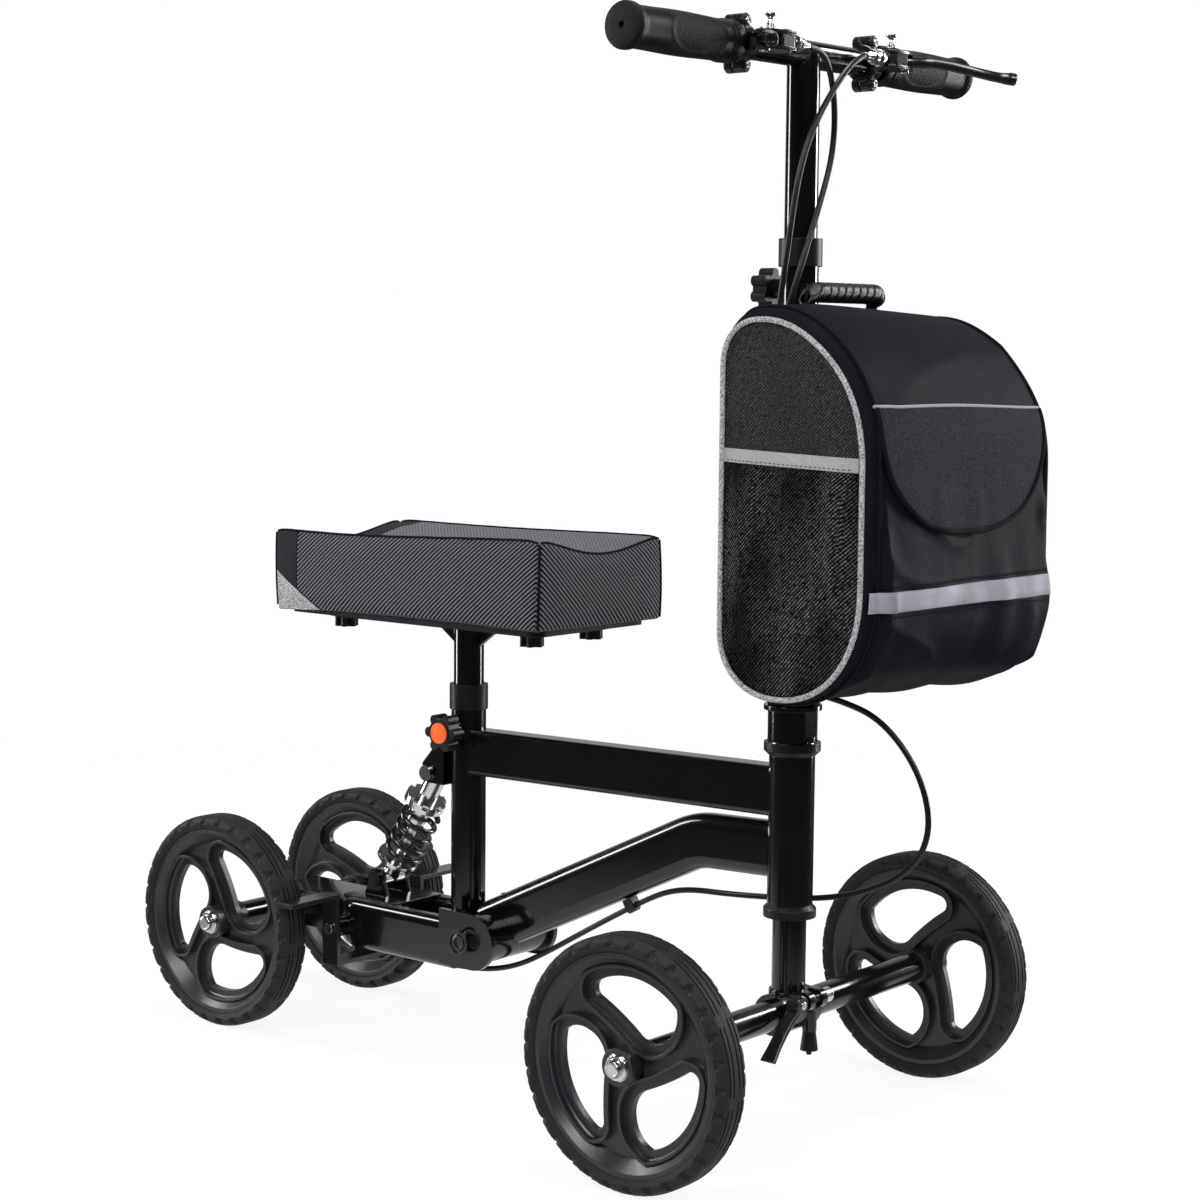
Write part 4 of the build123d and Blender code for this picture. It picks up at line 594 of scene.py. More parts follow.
def tyre_profile():
    """(radius, half width, notch share, groove share) round one side of the tyre, in mm."""
    return (
        (88.1, 13.0, 0, 0), (89.2, 14.6, 0, 0), (91.0, 15.3, 0, 0), (92.6, 15.9, 0, 0),
        (93.6, 16.2, 0.4, 0), (95.2, 16.4, 1, 0), (96.8, 15.8, 1, 0), (98.4, 14.6, 1, 0),
        (99.8, 12.6, 0.9, 0), (100.6, 10.9, 0.35, 0), (100.8, 9.5, 0, 0),
        (100.9, 8.9, 0, 0), (99.3, 8.5, 0, 1), (99.3, 7.5, 0, 1), (100.95, 7.1, 0, 0),
        (101.0, 5.6, 0, 0), (101.0, 4.2, 0, 0), (99.5, 3.8, 0, 1), (99.5, 2.8, 0, 1),
        (101.0, 2.4, 0, 0), (101.0, 0.9, 0, 0),
    )


def tyre(name):
    """Solid tyre with broken tread grooves and trapezoid notches round both shoulders."""
    middle = centre(f"{name}_tyre")
    one_side = tyre_profile()
    ring = [(r, w, n, g, 1) for r, w, n, g in one_side]
    ring += [(r, -w, n, g, -1) for r, w, n, g in reversed(one_side)]
    steps = TYRE_NOTCHES * TYRE_STEPS
    points = []
    for step, (c, d) in enumerate(circle(steps)):
        for radius, width, notch, groove, side in ring:
            phase = (step / TYRE_STEPS + (0.5 if side < 0 else 0.0)) % 1.0
            notch_half = 0.06 + 0.16 * max(0.0, (100.6 - radius) / 7.0)
            depth = notch if abs(phase - 0.5) < notch_half else 0.0
            saw = 1.1 * (phase if phase < 0.5 else phase - 0.5) * min(1.0, notch * 1.4)
            run = (step / TYRE_STEPS + (0.25 if side < 0 else 0.0)) % 3.0
            if groove and run > 2.45:  # a bridge across the groove
                radius = 100.9
            r = (radius - saw - 1.7 * depth) * MM
            w = (width - side * 1.5 * depth) * MM
            points.append(middle + Vector((r * c, w, r * d)))
    piece = make(f"{name}_tread", points, grid_faces(steps, len(ring), True, True), "tyre_rubber",
                 f"{name}_wheel", None, 32)
    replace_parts(piece, f"{name}_tyre")


def wheel_bolt(name):
    """Domed bolt head with its hexagon socket, and the dished washer behind it."""
    low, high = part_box(f"{name}_rim")
    side = -1 if name.endswith("right") else 1
    body = "steering" if name.startswith("front") else "rear_arm"
    middle = (low + high) / 2
    origin = Vector((middle.x, high.y if side > 0 else low.y, middle.z))
    head = [(4.0, 5.9), (4.0, 6.9), (5.2, 7.5), (6.4, 7.2), (7.0, 6.2), (7.05, 2.1)]
    socket = [(3.6, 7.0), (3.6, 5.4), (0.01, 5.2)]
    washer = [(6.8, 1.9), (7.6, 2.5), (9.6, 2.3), (10.4, 1.5), (10.4, 0.4)]
    lathe(f"{name}_bolt_rim", head, origin, (0, side, 0), "bright_steel", body)
    # the socket's inside is near black: painted shade in the recess
    lathe(f"{name}_bolt_socket", socket, origin, (0, side, 0), PAINTED_SHADE, body, 6, slot="black_plastic")
    lathe(f"{name}_washer", washer, origin, (0, side, 0), "bright_steel", body)


# ---------------------------------------------------------------- grips and levers
def grip(side):
    """Rubber grip: collar with a groove, oval palm pads with a raised edge, mushroom end."""
    inner = 0.098
    axis = centre("handlebar")
    end = (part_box("grips")[1].y - inner) / MM
    profile = [(16.0, 0.0), (16.6, 0.8), (16.8, 10.6), (16.2, 11.6), (16.2, 12.6), (16.9, 13.6)]
    for share in spread(0.0, 1.0, 60)[1:-1]:
        profile.append((16.0 + 0.9 * math.sin(math.pi * share) ** 2, 13.6 + share * (end - 24.6)))
    profile += [(16.4, end - 10), (17.6, end - 8), (18.0, end - 5.5), (18.0, end - 3), (17.2, end - 1.2),
                (15.0, end - 0.2), (8.0, end + 0.3), (2.6, end + 0.3), (2.2, end - 3), (0.01, end - 3)]
    steps = 96
    points = []
    for radius, height in profile:
        ribbed = 14 < height < end - 12
        for step, (c, d) in enumerate(circle(steps)):
            turn = (step / steps + 0.5) % 1.0 * 2 * math.pi - math.pi
            oval = ((height - 57.0) / 34.0) ** 2 + (turn / 0.95) ** 2  # 1 on the palm pad's edge
            edge = math.exp(-(((oval - 1.0) / 0.10) ** 2)) * 0.7
            r = (radius + (edge - (0.5 if oval < 1 else 0.0) if ribbed else 0.0)) * MM
            points.append(Vector((axis.x + r * c, side * (inner + height * MM), axis.z + r * d)))
    faces = turned_over(grid_faces(len(profile), steps, False, True), side > 0)
    return make(f"grip_{left_or_right(side)}", points, faces, "grip_rubber", "handlebar", None, 50)


def lever_blade(side):
    """Flat lever with an eye at its pin, a slight double curve, and a ringed tip."""
    name = left_or_right(side)
    body = f"brake_lever_{name}"
    low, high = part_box(body)
    z, fall = centre("handlebar").z, 11.0 * MM
    root = Vector((STEER.x + 32 * MM, side * 97 * MM, z))
    tip = Vector((high.x - 4.5 * MM, side * (max(abs(low.y), abs(high.y)) - 4.5 * MM), z - fall))
    run = Vector((tip.x - root.x, tip.y - root.y, 0))
    level = run.normalized()
    out = Vector((level.y, -level.x, 0)) * side
    points = []
    steps, ring = 48, 16
    for share in spread(0.0, 1.0, steps):
        drop = smoothstep(0.18, 1.0, share) * -fall
        bow = math.sin(math.pi * share) * 3.0 * MM - math.sin(2 * math.pi * share) * 1.2 * MM
        middle = root + run * share + out * bow + Vector((0, 0, drop))
        wide = (6.5 - 3.0 * smoothstep(0.0, 0.25, share) + 1.2 * smoothstep(0.86, 0.97, share)) * MM
        tall = (4.3 - 0.3 * math.sin(math.pi * share) + 0.6 * smoothstep(0.88, 0.97, share)) * MM
        points += [middle + out * (signed(c, 0.6) * wide) + Vector((0, 0, signed(d, 0.45) * tall))
                   for c, d in circle(ring)]
    faces = turned_over(closed_faces(steps + 1, ring), side < 0)
    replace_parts(make(f"lever_blade_{name}", points, faces, "black_alloy", body, None, 45), body)
    end = [(4.4, -3.4), (5.2, -2.4), (5.2, 2.2), (4.4, 3.2), (2.8, 3.2), (2.4, 1.4), (0.01, 1.2)]
    lathe(f"lever_tip_{name}", end, tip, level + Vector((0, 0, -0.14)), "black_alloy", body, 28)


def lever_bracket(side):
    """Hinged clamp, forked bracket, bright adjuster and screws of one brake lever."""
    name, bar = left_or_right(side), centre("handlebar")
    alloy, bright, body = "black_alloy", "bright_steel", "handlebar"

    def at(x, y, z):
        """A place in mm from the bar's middle, y toward the lever's own side."""
        return Vector((bar.x + x * MM, side * y * MM, bar.z + z * MM))

    def plate(part, outline, low, high):
        flat = [tuple(at(x, y, 0).xy) for x, y in outline]
        slab(f"lever_{part}_{name}", flat, bar.z + low * MM, bar.z + high * MM, alloy, body)

    ring = [(11.2, -7), (14.4, -7), (15.2, -6), (15.2, 6), (14.4, 7), (11.2, 7)]
    clamp = lathe(f"clamp_ring_{name}", ring, at(0, 88, 0), (0, side, 0), alloy, body)
    screw = [(0.01, 0.0), (3.3, 0.0), (3.3, 1.7), (2.8, 2.2), (1.6, 2.2), (1.5, 1.0), (0.01, 0.9)]
    for place, lift in (("upper", 16.6), ("lower", -16.6)):
        for part, shift, reach in (("front", 3.2, 5.2), ("rear", -6.4, 3.6)):
            lug = [(0.01, -reach), (5.4, -reach), (6.1, 0.7 - reach), (6.1, reach - 0.7), (5.4, reach),
                   (0.01, reach)]
            lathe(f"clamp_lug_{name}_{place}_{part}", lug, at(shift, 88, lift), (1, 0, 0), alloy, body, 32)
        lathe(f"clamp_screw_{name}_{place}", screw, at(8.4, 88, lift), (1, 0, 0), bright, body, 24)
    fork = [(12, 82), (18, 69), (24, 65), (39, 65), (43, 70), (43.5, 84), (41, 97), (36.5, 104), (29, 105),
            (24, 99), (17, 96), (11, 95)]
    core = [(11, 82), (19, 70), (25, 66), (38, 66), (42, 71), (42.5, 87), (30, 88), (20, 94), (11, 94)]
    plate("fork_top", fork, 4.3, 7.6)
    plate("fork_low", fork, -7.6, -4.3)
    plate("fork_core", core, -6.6, 6.6)
    head = [(0.01, 0.0), (4.2, 0.0), (4.2, 1.2), (3.4, 1.9), (1.7, 1.9), (1.5, 1.0), (0.01, 0.9)]
    for place, way in (("upper", 1), ("lower", -1)):
        lathe(f"lever_pin_{name}_{place}", head, at(32, 97, way * 7.4), (0, 0, way), bright, body, 24)
    plate("rib", [(26, 68), (37, 68), (39, 72), (39, 79), (26, 79)], 7.4, 9.2)
    barrel = [(0.01, -6), (5.0, -6), (5.0, 1), (6.4, 1.6), (7.0, 3), (7.0, 7), (6.2, 8), (4.4, 8.6),
              (4.4, 10.4), (6.0, 11), (6.0, 14.4), (5.2, 15.2), (4.0, 15.6), (4.0, 19), (3.2, 20),
              (3.1, 24.6), (0.01, 24.6)]
    lathe(f"adjuster_{name}", barrel, at(32, 65, 0), (0, -side, 0), bright, body, 24)
    return clamp


def parking_pin(side):
    """Bright push pin with a flared crown and a small spring under it."""
    name = left_or_right(side)
    node, bright = f"park_pin_{name}", "bright_steel"
    low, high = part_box(node)
    middle = (low + high) / 2
    tall = (high.z - low.z) / MM
    crown = ((2.3, 9), (3.0, 8.6), (3.0, 7), (2.2, 6.4), (2.2, 4), (3.2, 2.6), (4.5, 1.4), (4.6, 0.4),
             (4.0, 0), (2.4, 0.8), (0.01, 1.0))  # (radius, depth under the top)
    stem = [(0.01, 0), (2.3, 0)] + [(radius, tall - depth) for radius, depth in crown]
    pin = lathe(f"parking_pin_{name}", stem, (middle.x, middle.y, low.z), (0, 0, 1), bright, node, 20, 60)
    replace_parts(pin, node)
    base, radius = centre("handlebar").z + 7.8 * MM, 3.2 * MM
    line = []
    for share in spread(0.0, 1.0, 80):
        angle = 2 * math.pi * 4.0 * share
        line.append((middle.x + radius * math.cos(angle), middle.y + radius * math.sin(angle),
                     base + share * 4.6 * MM))
    tube(f"pin_spring_{name}", line, 0.45, bright, "handlebar", 6)


def clamp_lever():
    """Bent quick-release lever of the axle clamp, its cam barrel and bright pin."""
    low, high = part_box("axle_lever")
    body, black = "axle_lever", "black_steel"
    place = Vector(((low.x + high.x) / 2, (low.y + high.y) / 2, high.z - 8 * MM))
    points = []
    steps, ring = 24, ((-1, -1), (1, -1), (1.12, 0), (1, 1), (-1, 1), (-1.12, 0))
    for share in spread(0.0, 1.0, steps):
        arch = math.sin(math.pi * share)
        y = -38 * share ** 1.25 - 1.5
        z = -36 * share - 4 + 5 * arch
        lean = math.radians(-30 - 24 * arch)
        wide = 6.2 - arch + 0.6 * smoothstep(0.8, 1.0, share)
        thick = 1.7 + 1.3 * (1 - share)
        points += [place + Vector((dx * wide, y + dn * thick * math.cos(lean),
                                   z + dn * thick * math.sin(lean))) * MM for dx, dn in ring]
    blade = make("clamp_lever_blade", points, closed_faces(steps + 1, len(ring)), black, body, None, 35)
    soft = blade.modifiers.new("edges", "BEVEL")
    soft.width, soft.segments = 0.6 * MM, 2
    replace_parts(blade, "axle_lever")
    cam = [(0.01, -6.5), (6.8, -6.5), (7.8, -5.6), (7.8, 5.6), (6.8, 6.5), (0.01, 6.5)]
    lathe("clamp_lever_cam", cam, place, (1, 0, 0), black, body, 32)
    pin = [(0.01, 6.4), (3.4, 6.4), (3.4, 7.6), (2.6, 8.2), (0.01, 8.2)]
    lathe("clamp_lever_pin", pin, place, (1, 0, 0), "bright_steel", body, 24)


def bolt_face(name, place, side, body):
    """Black socket bolt sunk level with the plate, in a black ring with a raised edge."""
    radius = 11.6
    ring = [(radius * 0.74, -1.6), (radius * 0.80, 0.25), (radius * 0.92, 0.55), (radius, 0.3), (radius, -1.6)]
    head = [(radius * 0.74, -1.9), (radius * 0.62, -0.5), (radius * 0.44, -0.5), (radius * 0.40, -2.0),
            (0.01, -2.0)]
    lathe(f"{name}_ring", ring, place, (0, side, 0), FINISH["black_alloy"], body, 40, slot="black_steel")
    lathe(f"{name}_head", head, place, (0, side, 0), "black_steel", body, 6)


def cross_bolts():
    """Finishes of the cross bolts: black in the rear arm, bright at the wheels."""
    piece = NODES["swing_arm_bolts"]
    piece.data.materials.append(FINISH["black_steel"])
    arm_reach = 0.06
    for polygon in piece.data.polygons:
        polygon.material_index = 1 if abs(polygon.center.y) < arm_reach else 0
    face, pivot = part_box("swing_arm")[1].y, centre("pivot_barrel")
    for side in (-1, 1):
        place = Vector((pivot.x, side * face, pivot.z))
        bolt_face(f"pivot_bolt_{left_or_right(side)}", place, side, "rear_arm")


def knob_cap(name, node, axis, finish):
    """Coloured cap in the low face of a star knob along an axis."""
    face, direction = centre(node), Vector()
    face[axis], direction[axis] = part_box(node)[0][axis], -1
    cap = [(9.0, -3.2), (9.6, -1.9), (9.6, -0.4), (9.0, 0.3), (7.9, 0.5), (7.4, 0.1), (6.6, 0.1),
           (6.2, 0.5), (0.01, 0.7)]
    lathe(name, cap, face, direction, finish, node, slot="black_plastic")


# ---------------------------------------------------------------- shock spring
def spring():
    """Closed-end coil spring on the shock absorber."""
    joint = next(j for j in FRAME["joints"] if j["name"] == "shock_slide")
    up = Vector(joint["axis"]).normalized()
    low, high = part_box("shock_spring")
    ring_width = 0.0344  # the leaning box is taller than the spring by this much, times the lean
    length = (high.z - low.z - ring_width * abs(up.x)) / up.z
    turns, radius, wire = 4.3, 16.8 * MM, 2.7
    start = (low + high) / 2 + up * (length / 2 - 2.9 * MM)
    side, other = axes_to(up)
    line = []
    for share in spread(0.0, 1.0, int(turns * 40)):
        eased = smoothstep(0.0, 1.0, share) * 0.5 + share * 0.5
        turn = 2 * math.pi * turns * share
        out = side * math.cos(turn) + other * math.sin(turn)
        line.append(start - up * (eased * (length - 5.8 * MM)) + out * radius)
    piece = tube("coil_spring", line, wire, "black_steel", "shock_body", 14)
    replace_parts(piece, "shock_spring")
    travel = joint["range_m"][1]
    tuple(start + up * (wire * MM))
    1 - travel / length
    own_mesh(piece)


# ---------------------------------------------------------------- cables
RIGHT_LEVER_ROUTE = (
    (626, -39, 883.5), (626, -26, 883), (624, -12, 877), (620, 1, 865), (618, 9, 848), (617, 12, 824),
    (616, 9, 798), (615, -1, 771), (614.5, -13, 744), (613, -23, 720), (610, -30, 698), (606, -35, 674),
    (603.5, -37, 646), (602.6, -36.2, 614), (602, -34.4, 580.3),
)
LEFT_LEVER_ROUTE = (
    (626, 39, 883.5), (626.5, 26, 879), (627, 9, 867), (626, -7, 850), (624, -21, 831), (620, -31, 808),
    (618, -38, 784), (616, -42.5, 757), (614, -45.5, 728), (610, -46.5, 700), (605.5, -46, 672),
    (602.5, -45, 643), (601.6, -43, 611), (602, -41.6, 580.3),
)
REAR_ROUTE = (
    (602, -38, 544.7), (601.6, -37.6, 510), (602.2, -37, 472), (603, -35.5, 436), (606, -33.5, 408),
    (614, -27, 386), (628, -14, 371), (645, 3, 363.5), (663, 17, 353), (682, 24, 334), (698, 27, 311),
    (708, 28, 286), (710, 28, 262), (702, 28, 240), (684, 28, 222), (660, 27.5, 209), (633, 27.5, 199),
    (603, 27.5, 192), (573, 26, 188), (545, 17, 187), (520, 6, 187.5), (495, -0.5, 188), (472, -2.5, 184),
    (450, -3, 175), (408, -2.5, 152), (366, -1, 128), (328, 1, 106), (294, 1, 88), (258, 0.5, 77.5),
    (218, 0, 74.5), (176, 0, 74), (146, 0, 75.2), (118.3, 0, 77),
)


def cable(name, line):
    """One stretch of cable along a line."""
    return tube(name, line, 2.5, "cable_sheath")


def route(points):
    """A cable's smooth line in the row frame."""
    return nurbs_line([Vector(p) * MM + ROUTE_SHIFT for p in points])


def cables():
    """Lever cables, joiner and rear brake cable, the rear cable cut into three stretches."""
    column, rear_x = centre("column_tube"), ROUTE_SHIFT.x
    made = []
    for name, points in (("right", RIGHT_LEVER_ROUTE), ("left", LEFT_LEVER_ROUTE)):
        made.append(cable(f"lever_cable_{name}", route(points)))
        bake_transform(made[-1])
    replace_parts(made[0], "lever_cables")
    line = route(REAR_ROUTE)
    fold = next(i for i, p in enumerate(line) if p.z < 0.352)
    clip = next(i for i, p in enumerate(line) if p.x < rear_x + 0.47)
    upper = cable("rear_cable_upper", line[: fold + 1])
    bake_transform(upper)
    middle = cable("rear_cable_loop", line[fold : clip + 1])
    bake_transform(middle)
    lower = cable("rear_cable_lower", line[clip:])
    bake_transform(lower)
    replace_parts(upper, "rear_brake_cable")
    joiner = Vector((602, -38, 545)) * MM + ROUTE_SHIFT
    sleeve = [(2.6, -9), (3.2, -8.6), (3.4, -1), (6.2, 0), (7.0, 1), (7.0, 34), (6.2, 35), (5.8, 36.5),
              (5.8, 40), (0.01, 40)]
    lathe("cable_joiner", sleeve, joiner, (0, 0, 1), "black_plastic", "column", 24)


# ---------------------------------------------------------------- knee pad
def swell(piece, pressure, cap, frames=20):
    """Inflates a closed mesh as stuffed cloth, each point moving no further than cap."""
    rest = [v.co.copy() for v in piece.data.vertices]
    cloth = piece.modifiers.new("swell", "CLOTH")
    settings = cloth.settings
    settings.use_pressure = True
    settings.uniform_pressure_force = pressure
    settings.effector_weights.gravity = 0
    settings.quality = 8
    settings.tension_stiffness = settings.compression_stiffness = 40
    settings.shear_stiffness = 20
    settings.bending_stiffness = 12
    for frame in range(1, frames + 1):
        bpy.context.scene.frame_set(frame)
    evaluated = piece.evaluated_get(bpy.context.evaluated_depsgraph_get())
    swollen = [v.co.copy() for v in evaluated.data.vertices]
    piece.modifiers.clear()
    for vertex, start, end in zip(piece.data.vertices, rest, swollen):
        step = end - start
        vertex.co = start + step * min(1.0, cap / max(step.length, 1e-9))
    bpy.context.scene.frame_set(1)


def pad_top(u, v):
    """Lift of the pad's top in mm: dipped along the middle, raised at the near front corner."""
    dip = math.cos(math.pi / 2 * min(1.0, abs(v))) ** 1.5
    ends = smoothstep(0.88, 1.0, abs(v)) * smoothstep(0.9, 1.0, abs(u))
    return 0.3 + smoothstep(-0.6, 1.0, u) * (4.5 - 2.2 * v) - 12.0 * dip - 1.6 * ends


def pad_outline(half, corner=4.5 * MM, inset=0.6 * MM):
    """Points about 5 mm apart round the pad's outline, its corners rounded."""
    bends = []
    for x_side, y_side in ((1, 1), (-1, 1), (-1, -1), (1, -1)):
        x, y = x_side * (half.x - inset - corner), y_side * (half.y - inset - corner)
        first = math.atan2(y_side, x_side) - math.pi / 4
        bends += [(x + corner * math.cos(angle), y + corner * math.sin(angle))
                  for angle in spread(first, first + math.pi / 2, 6)]
    around = []
    for (x, y), (next_x, next_y) in zip(bends, bends[1:] + bends[:1]):
        steps = max(1, round(math.dist((x, y), (next_x, next_y)) / (5.0 * MM)))
        around += [(x + (next_x - x) * i / steps, y + (next_y - y) * i / steps) for i in range(steps)]
    return around


def knee_pad():
    """Padded cover with corner seams and piping along the top edges."""
    low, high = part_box("knee_cushion")
    middle, half = (low + high) / 2, (high - low) / 2
    around = pad_outline(half)
    under = (0.02, 0.08, 0.2, 0.4, 0.6, 0.8, 0.93, 0.98)
    wall = [0.012, 0.04] + [i / 15 for i in range(1, 15)] + [0.965, 0.988]
    over = [0.992] + [0.975 * (1 - i / 20) for i in range(20)]
    rows = [(size, 0.0) for size in under] + [(1.0, share) for share in wall] + [(size, 1.0) for size in over]
    points = []
    for size, share in rows:
        for x, y in around:
            u, v = x * size / half.x, y * size / half.y
            edge = min(half.x * (1 - abs(u)), half.y * (1 - abs(v)))
            hang = -3.0 + (1 + u) / 2 * (3.3 - 0.8 * v) + 2.4 * (1 - u * u)
            skirt = hang * (1 - smoothstep(3 * MM, 6 * MM, edge)) * MM
            dimple = noise.noise(Vector((x * 15, y * 15, share))) * 0.7
            belly = (1.3 * (1 - (2 * share - 1) ** 2) + dimple) * MM if size == 1.0 else 0.0
            flare = 1.5 * MM * (1 - share) * (1 + u) * smoothstep(0.9, 1.0, size)
            roof = high.z + pad_top(u, v) * MM - low.z
            points.append(Vector((
                middle.x + u * half.x + math.copysign(belly, u) * smoothstep(0.97, 1.0, abs(u)),
                v * half.y + math.copysign(belly + flare, v) * smoothstep(0.95, 1.0, abs(v)),
                low.z + roof * share + skirt * (1 - share),
            )))
    count = len(around)
    faces = grid_faces(len(rows), count, False, True)
    faces += [tuple(range(count)), tuple(range((len(rows) - 1) * count, len(rows) * count))]
    piece = make("knee_pad", points, faces, FINISH["pad_cover"], None, None, 50)
    swell(piece, 2.0, 1.4 * MM)
    smooth = piece.modifiers.new("smooth", "SUBSURF")
    smooth.levels = smooth.render_levels = 1
    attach(piece, "seat")
    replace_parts(piece, "knee_cushion")
    surface = tree_of(piece)

    def seam(name, places, radius=1.1):
        line = []
        for place in places:
            hit, normal, _, _ = surface.find_nearest(Vector(place))
            line.append(hit + normal * 0.4 * MM)
        tube(f"pad_{name}", line, radius, BINDING, "seat", 8, slot="pad_cover")

    def edge_point(u, v):
        out = 0.6 * MM
        return (middle.x + u * (half.x - out), v * (half.y - out), high.z + pad_top(u, v) * MM + out)

    for side in (-1, 1):
        name = left_or_right(side)
        seam(f"top_seam_{name}", [edge_point(u, side) for u in spread(-0.985, 0.985, 60)])
        for end, place in ((-1, "rear"), (1, "front")):
            x, y, top = edge_point(end, side)
            upright = [(x + end * 2 * MM, y + side * 2 * MM, z)
                       for z in spread(top - 2 * MM, low.z + 1 * MM, 24)]
            seam(f"corner_seam_{place}_{name}", upright, 1.2)
    for end, place in ((-1, "rear"), (1, "front")):
        seam(f"end_seam_{place}", [edge_point(end, v) for v in spread(-0.97, 0.97, 60)])


# ---------------------------------------------------------------- bag
BAG_LOW, BAG_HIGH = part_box("bag")
BAG_CORNERS = (  # (x side, z side, x radius, z radius) round the side outline, from the low back corner
    (0, 0, 58, 54), (1, 0, 79, 92), (1, 1, 98, 111), (0, 1, 39, 38),
)
CORNER_POWER = 2 / 2.15
TAPE_Z = BAG_LOW.z + 0.0755  # lower edge of the reflective tape
POCKET_HALF = 0.1185  # half width of the front pocket


def bag_outline(count, inset=0.0):
    """Points and outward directions evenly spaced round the bag's side outline."""
    dense = []
    for index, (east, north, rx, rz) in enumerate(BAG_CORNERS):
        rx, rz = rx * MM, rz * MM
        cx = BAG_HIGH.x - rx if east else BAG_LOW.x + rx
        cz = BAG_HIGH.z - rz if north else BAG_LOW.z + rz
        start = (-180, -90, 0, 90)[index]
        for angle in spread(math.radians(start), math.radians(start + 90), 40):
            c, d = math.cos(angle), math.sin(angle)
            at = Vector((cx + rx * signed(c, CORNER_POWER), cz + rz * signed(d, CORNER_POWER)))
            out = Vector((c / rx, d / rz)).normalized()
            dense.append((at - out * inset, out))
    lengths = [0.0]
    for (a, _), (b, _) in zip(dense, dense[1:] + dense[:1]):
        lengths.append(lengths[-1] + (b - a).length)
    result = []
    for step in range(count):
        want = lengths[-1] * step / count
        i = max(k for k in range(len(dense)) if lengths[k] <= want)
        span = lengths[i + 1] - lengths[i]
        share = (want - lengths[i]) / span if span > 1e-9 else 0.0
        (a, na), (b, nb) = dense[i], dense[(i + 1) % len(dense)]
        result.append((a.lerp(b, share), na.lerp(nb, share).normalized()))
    return result


def crease(x, y, z):
    """Sharp-crested fold pattern, from 0 in the flats to 1 on a crest."""
    return (1.0 - min(1.0, abs(noise.noise(Vector((x, y, z)))) * 3.2)) ** 2


def bag_trim(name, line, radius, finish, steps, closed=False):
    """A round trim on the bag, its radius in mm."""
    tube(f"bag_{name}", line, radius, finish, "column", steps, closed, "bag_cloth")


def bag_folds(p, out):
    """How far the bag's cloth stands out from its plain shape at a point."""
    level = (p.z - BAG_LOW.z) / (BAG_HIGH.z - BAG_LOW.z)
    front, top, under = max(0.0, out.x), max(0.0, out.y), max(0.0, -out.y)
    crown = 5.0 * (1 - (abs(p.y) / BAG_HIGH.y) ** 5) * (front + top * 1.3 + under * 0.4)
    soft = noise.noise(Vector((p.x * 14, p.y * 9, p.z * 14))) * 0.96
    pocket = smoothstep(0.03, 0.12, level) * (1 - smoothstep(0.50, 0.62, level))
    pocket *= 1 - smoothstep(0.114, 0.120, abs(p.y))
    upright = noise.noise(Vector((p.y * 34, p.z * 7, 3.1))) * 2.4 * front * (0.3 + pocket)
    full = pocket * (2.0 + 7.0 * (1 - smoothstep(0.20, 0.50, level))) * front
    drape = crease(p.y * 11 + p.z * 9, p.z * 15 - p.y * 5, 7.7) * 3.4 * front * pocket
    upper = crease(p.y * 6 - p.z * 7, p.z * 7, 2.2) * 3.2 * smoothstep(0.66, 0.82, level)
    hem = noise.noise(Vector((p.y * 24, 1.7, 0.4))) * 4.5 * (under + front * (1 - smoothstep(0.0, 0.16, level)))
    return (crown + soft + upright + drape + upper + full + hem - 1.5 * under) * MM


def bag_shell():
    """Main body of the bag: a lofted shell with sagging cloth and a fuller front pocket."""
    around = bag_outline(260)
    half, edge = BAG_HIGH.y, 5.0 * MM
    columns = []  # (place across, how far the outline is drawn in there)
    for angle in spread(0.0, math.pi / 2, 5)[:-1]:
        columns.append((-(half - edge) - edge * math.cos(angle), edge * (1 - math.sin(angle))))
    columns += [(y, 0.0) for y in spread(-(half - edge), half - edge, 74)]
    columns += [(-y, inset) for y, inset in reversed(columns[:5])]
    points = []
    for y, inset in columns:
        for place, out in around:
            lift = bag_folds(Vector((place.x, y, place.y)), out)
            lift *= (1 - inset / edge) * smoothstep(0, 6 * MM, half - abs(y))
            offset = lift * (1 - smoothstep(0.3, 0.9, -out.x)) - inset
            points.append(Vector((place.x + out.x * offset, y, place.y + out.y * offset)))
    faces = grid_faces(len(columns), len(around), False, True)
    cloths = [FINISH["bag_cloth"], POCKET_CLOTH]
    piece = make("bag_shell", points, faces, cloths, "column", "bag_cloth", 60)
    for polygon in piece.data.polygons:
        middle = polygon.center
        low = middle.z < TAPE_Z and abs(middle.y) < POCKET_HALF
        polygon.material_index = 1 if low and polygon.normal.x > 0.3 else 0
    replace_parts(piece, "bag")
    return piece


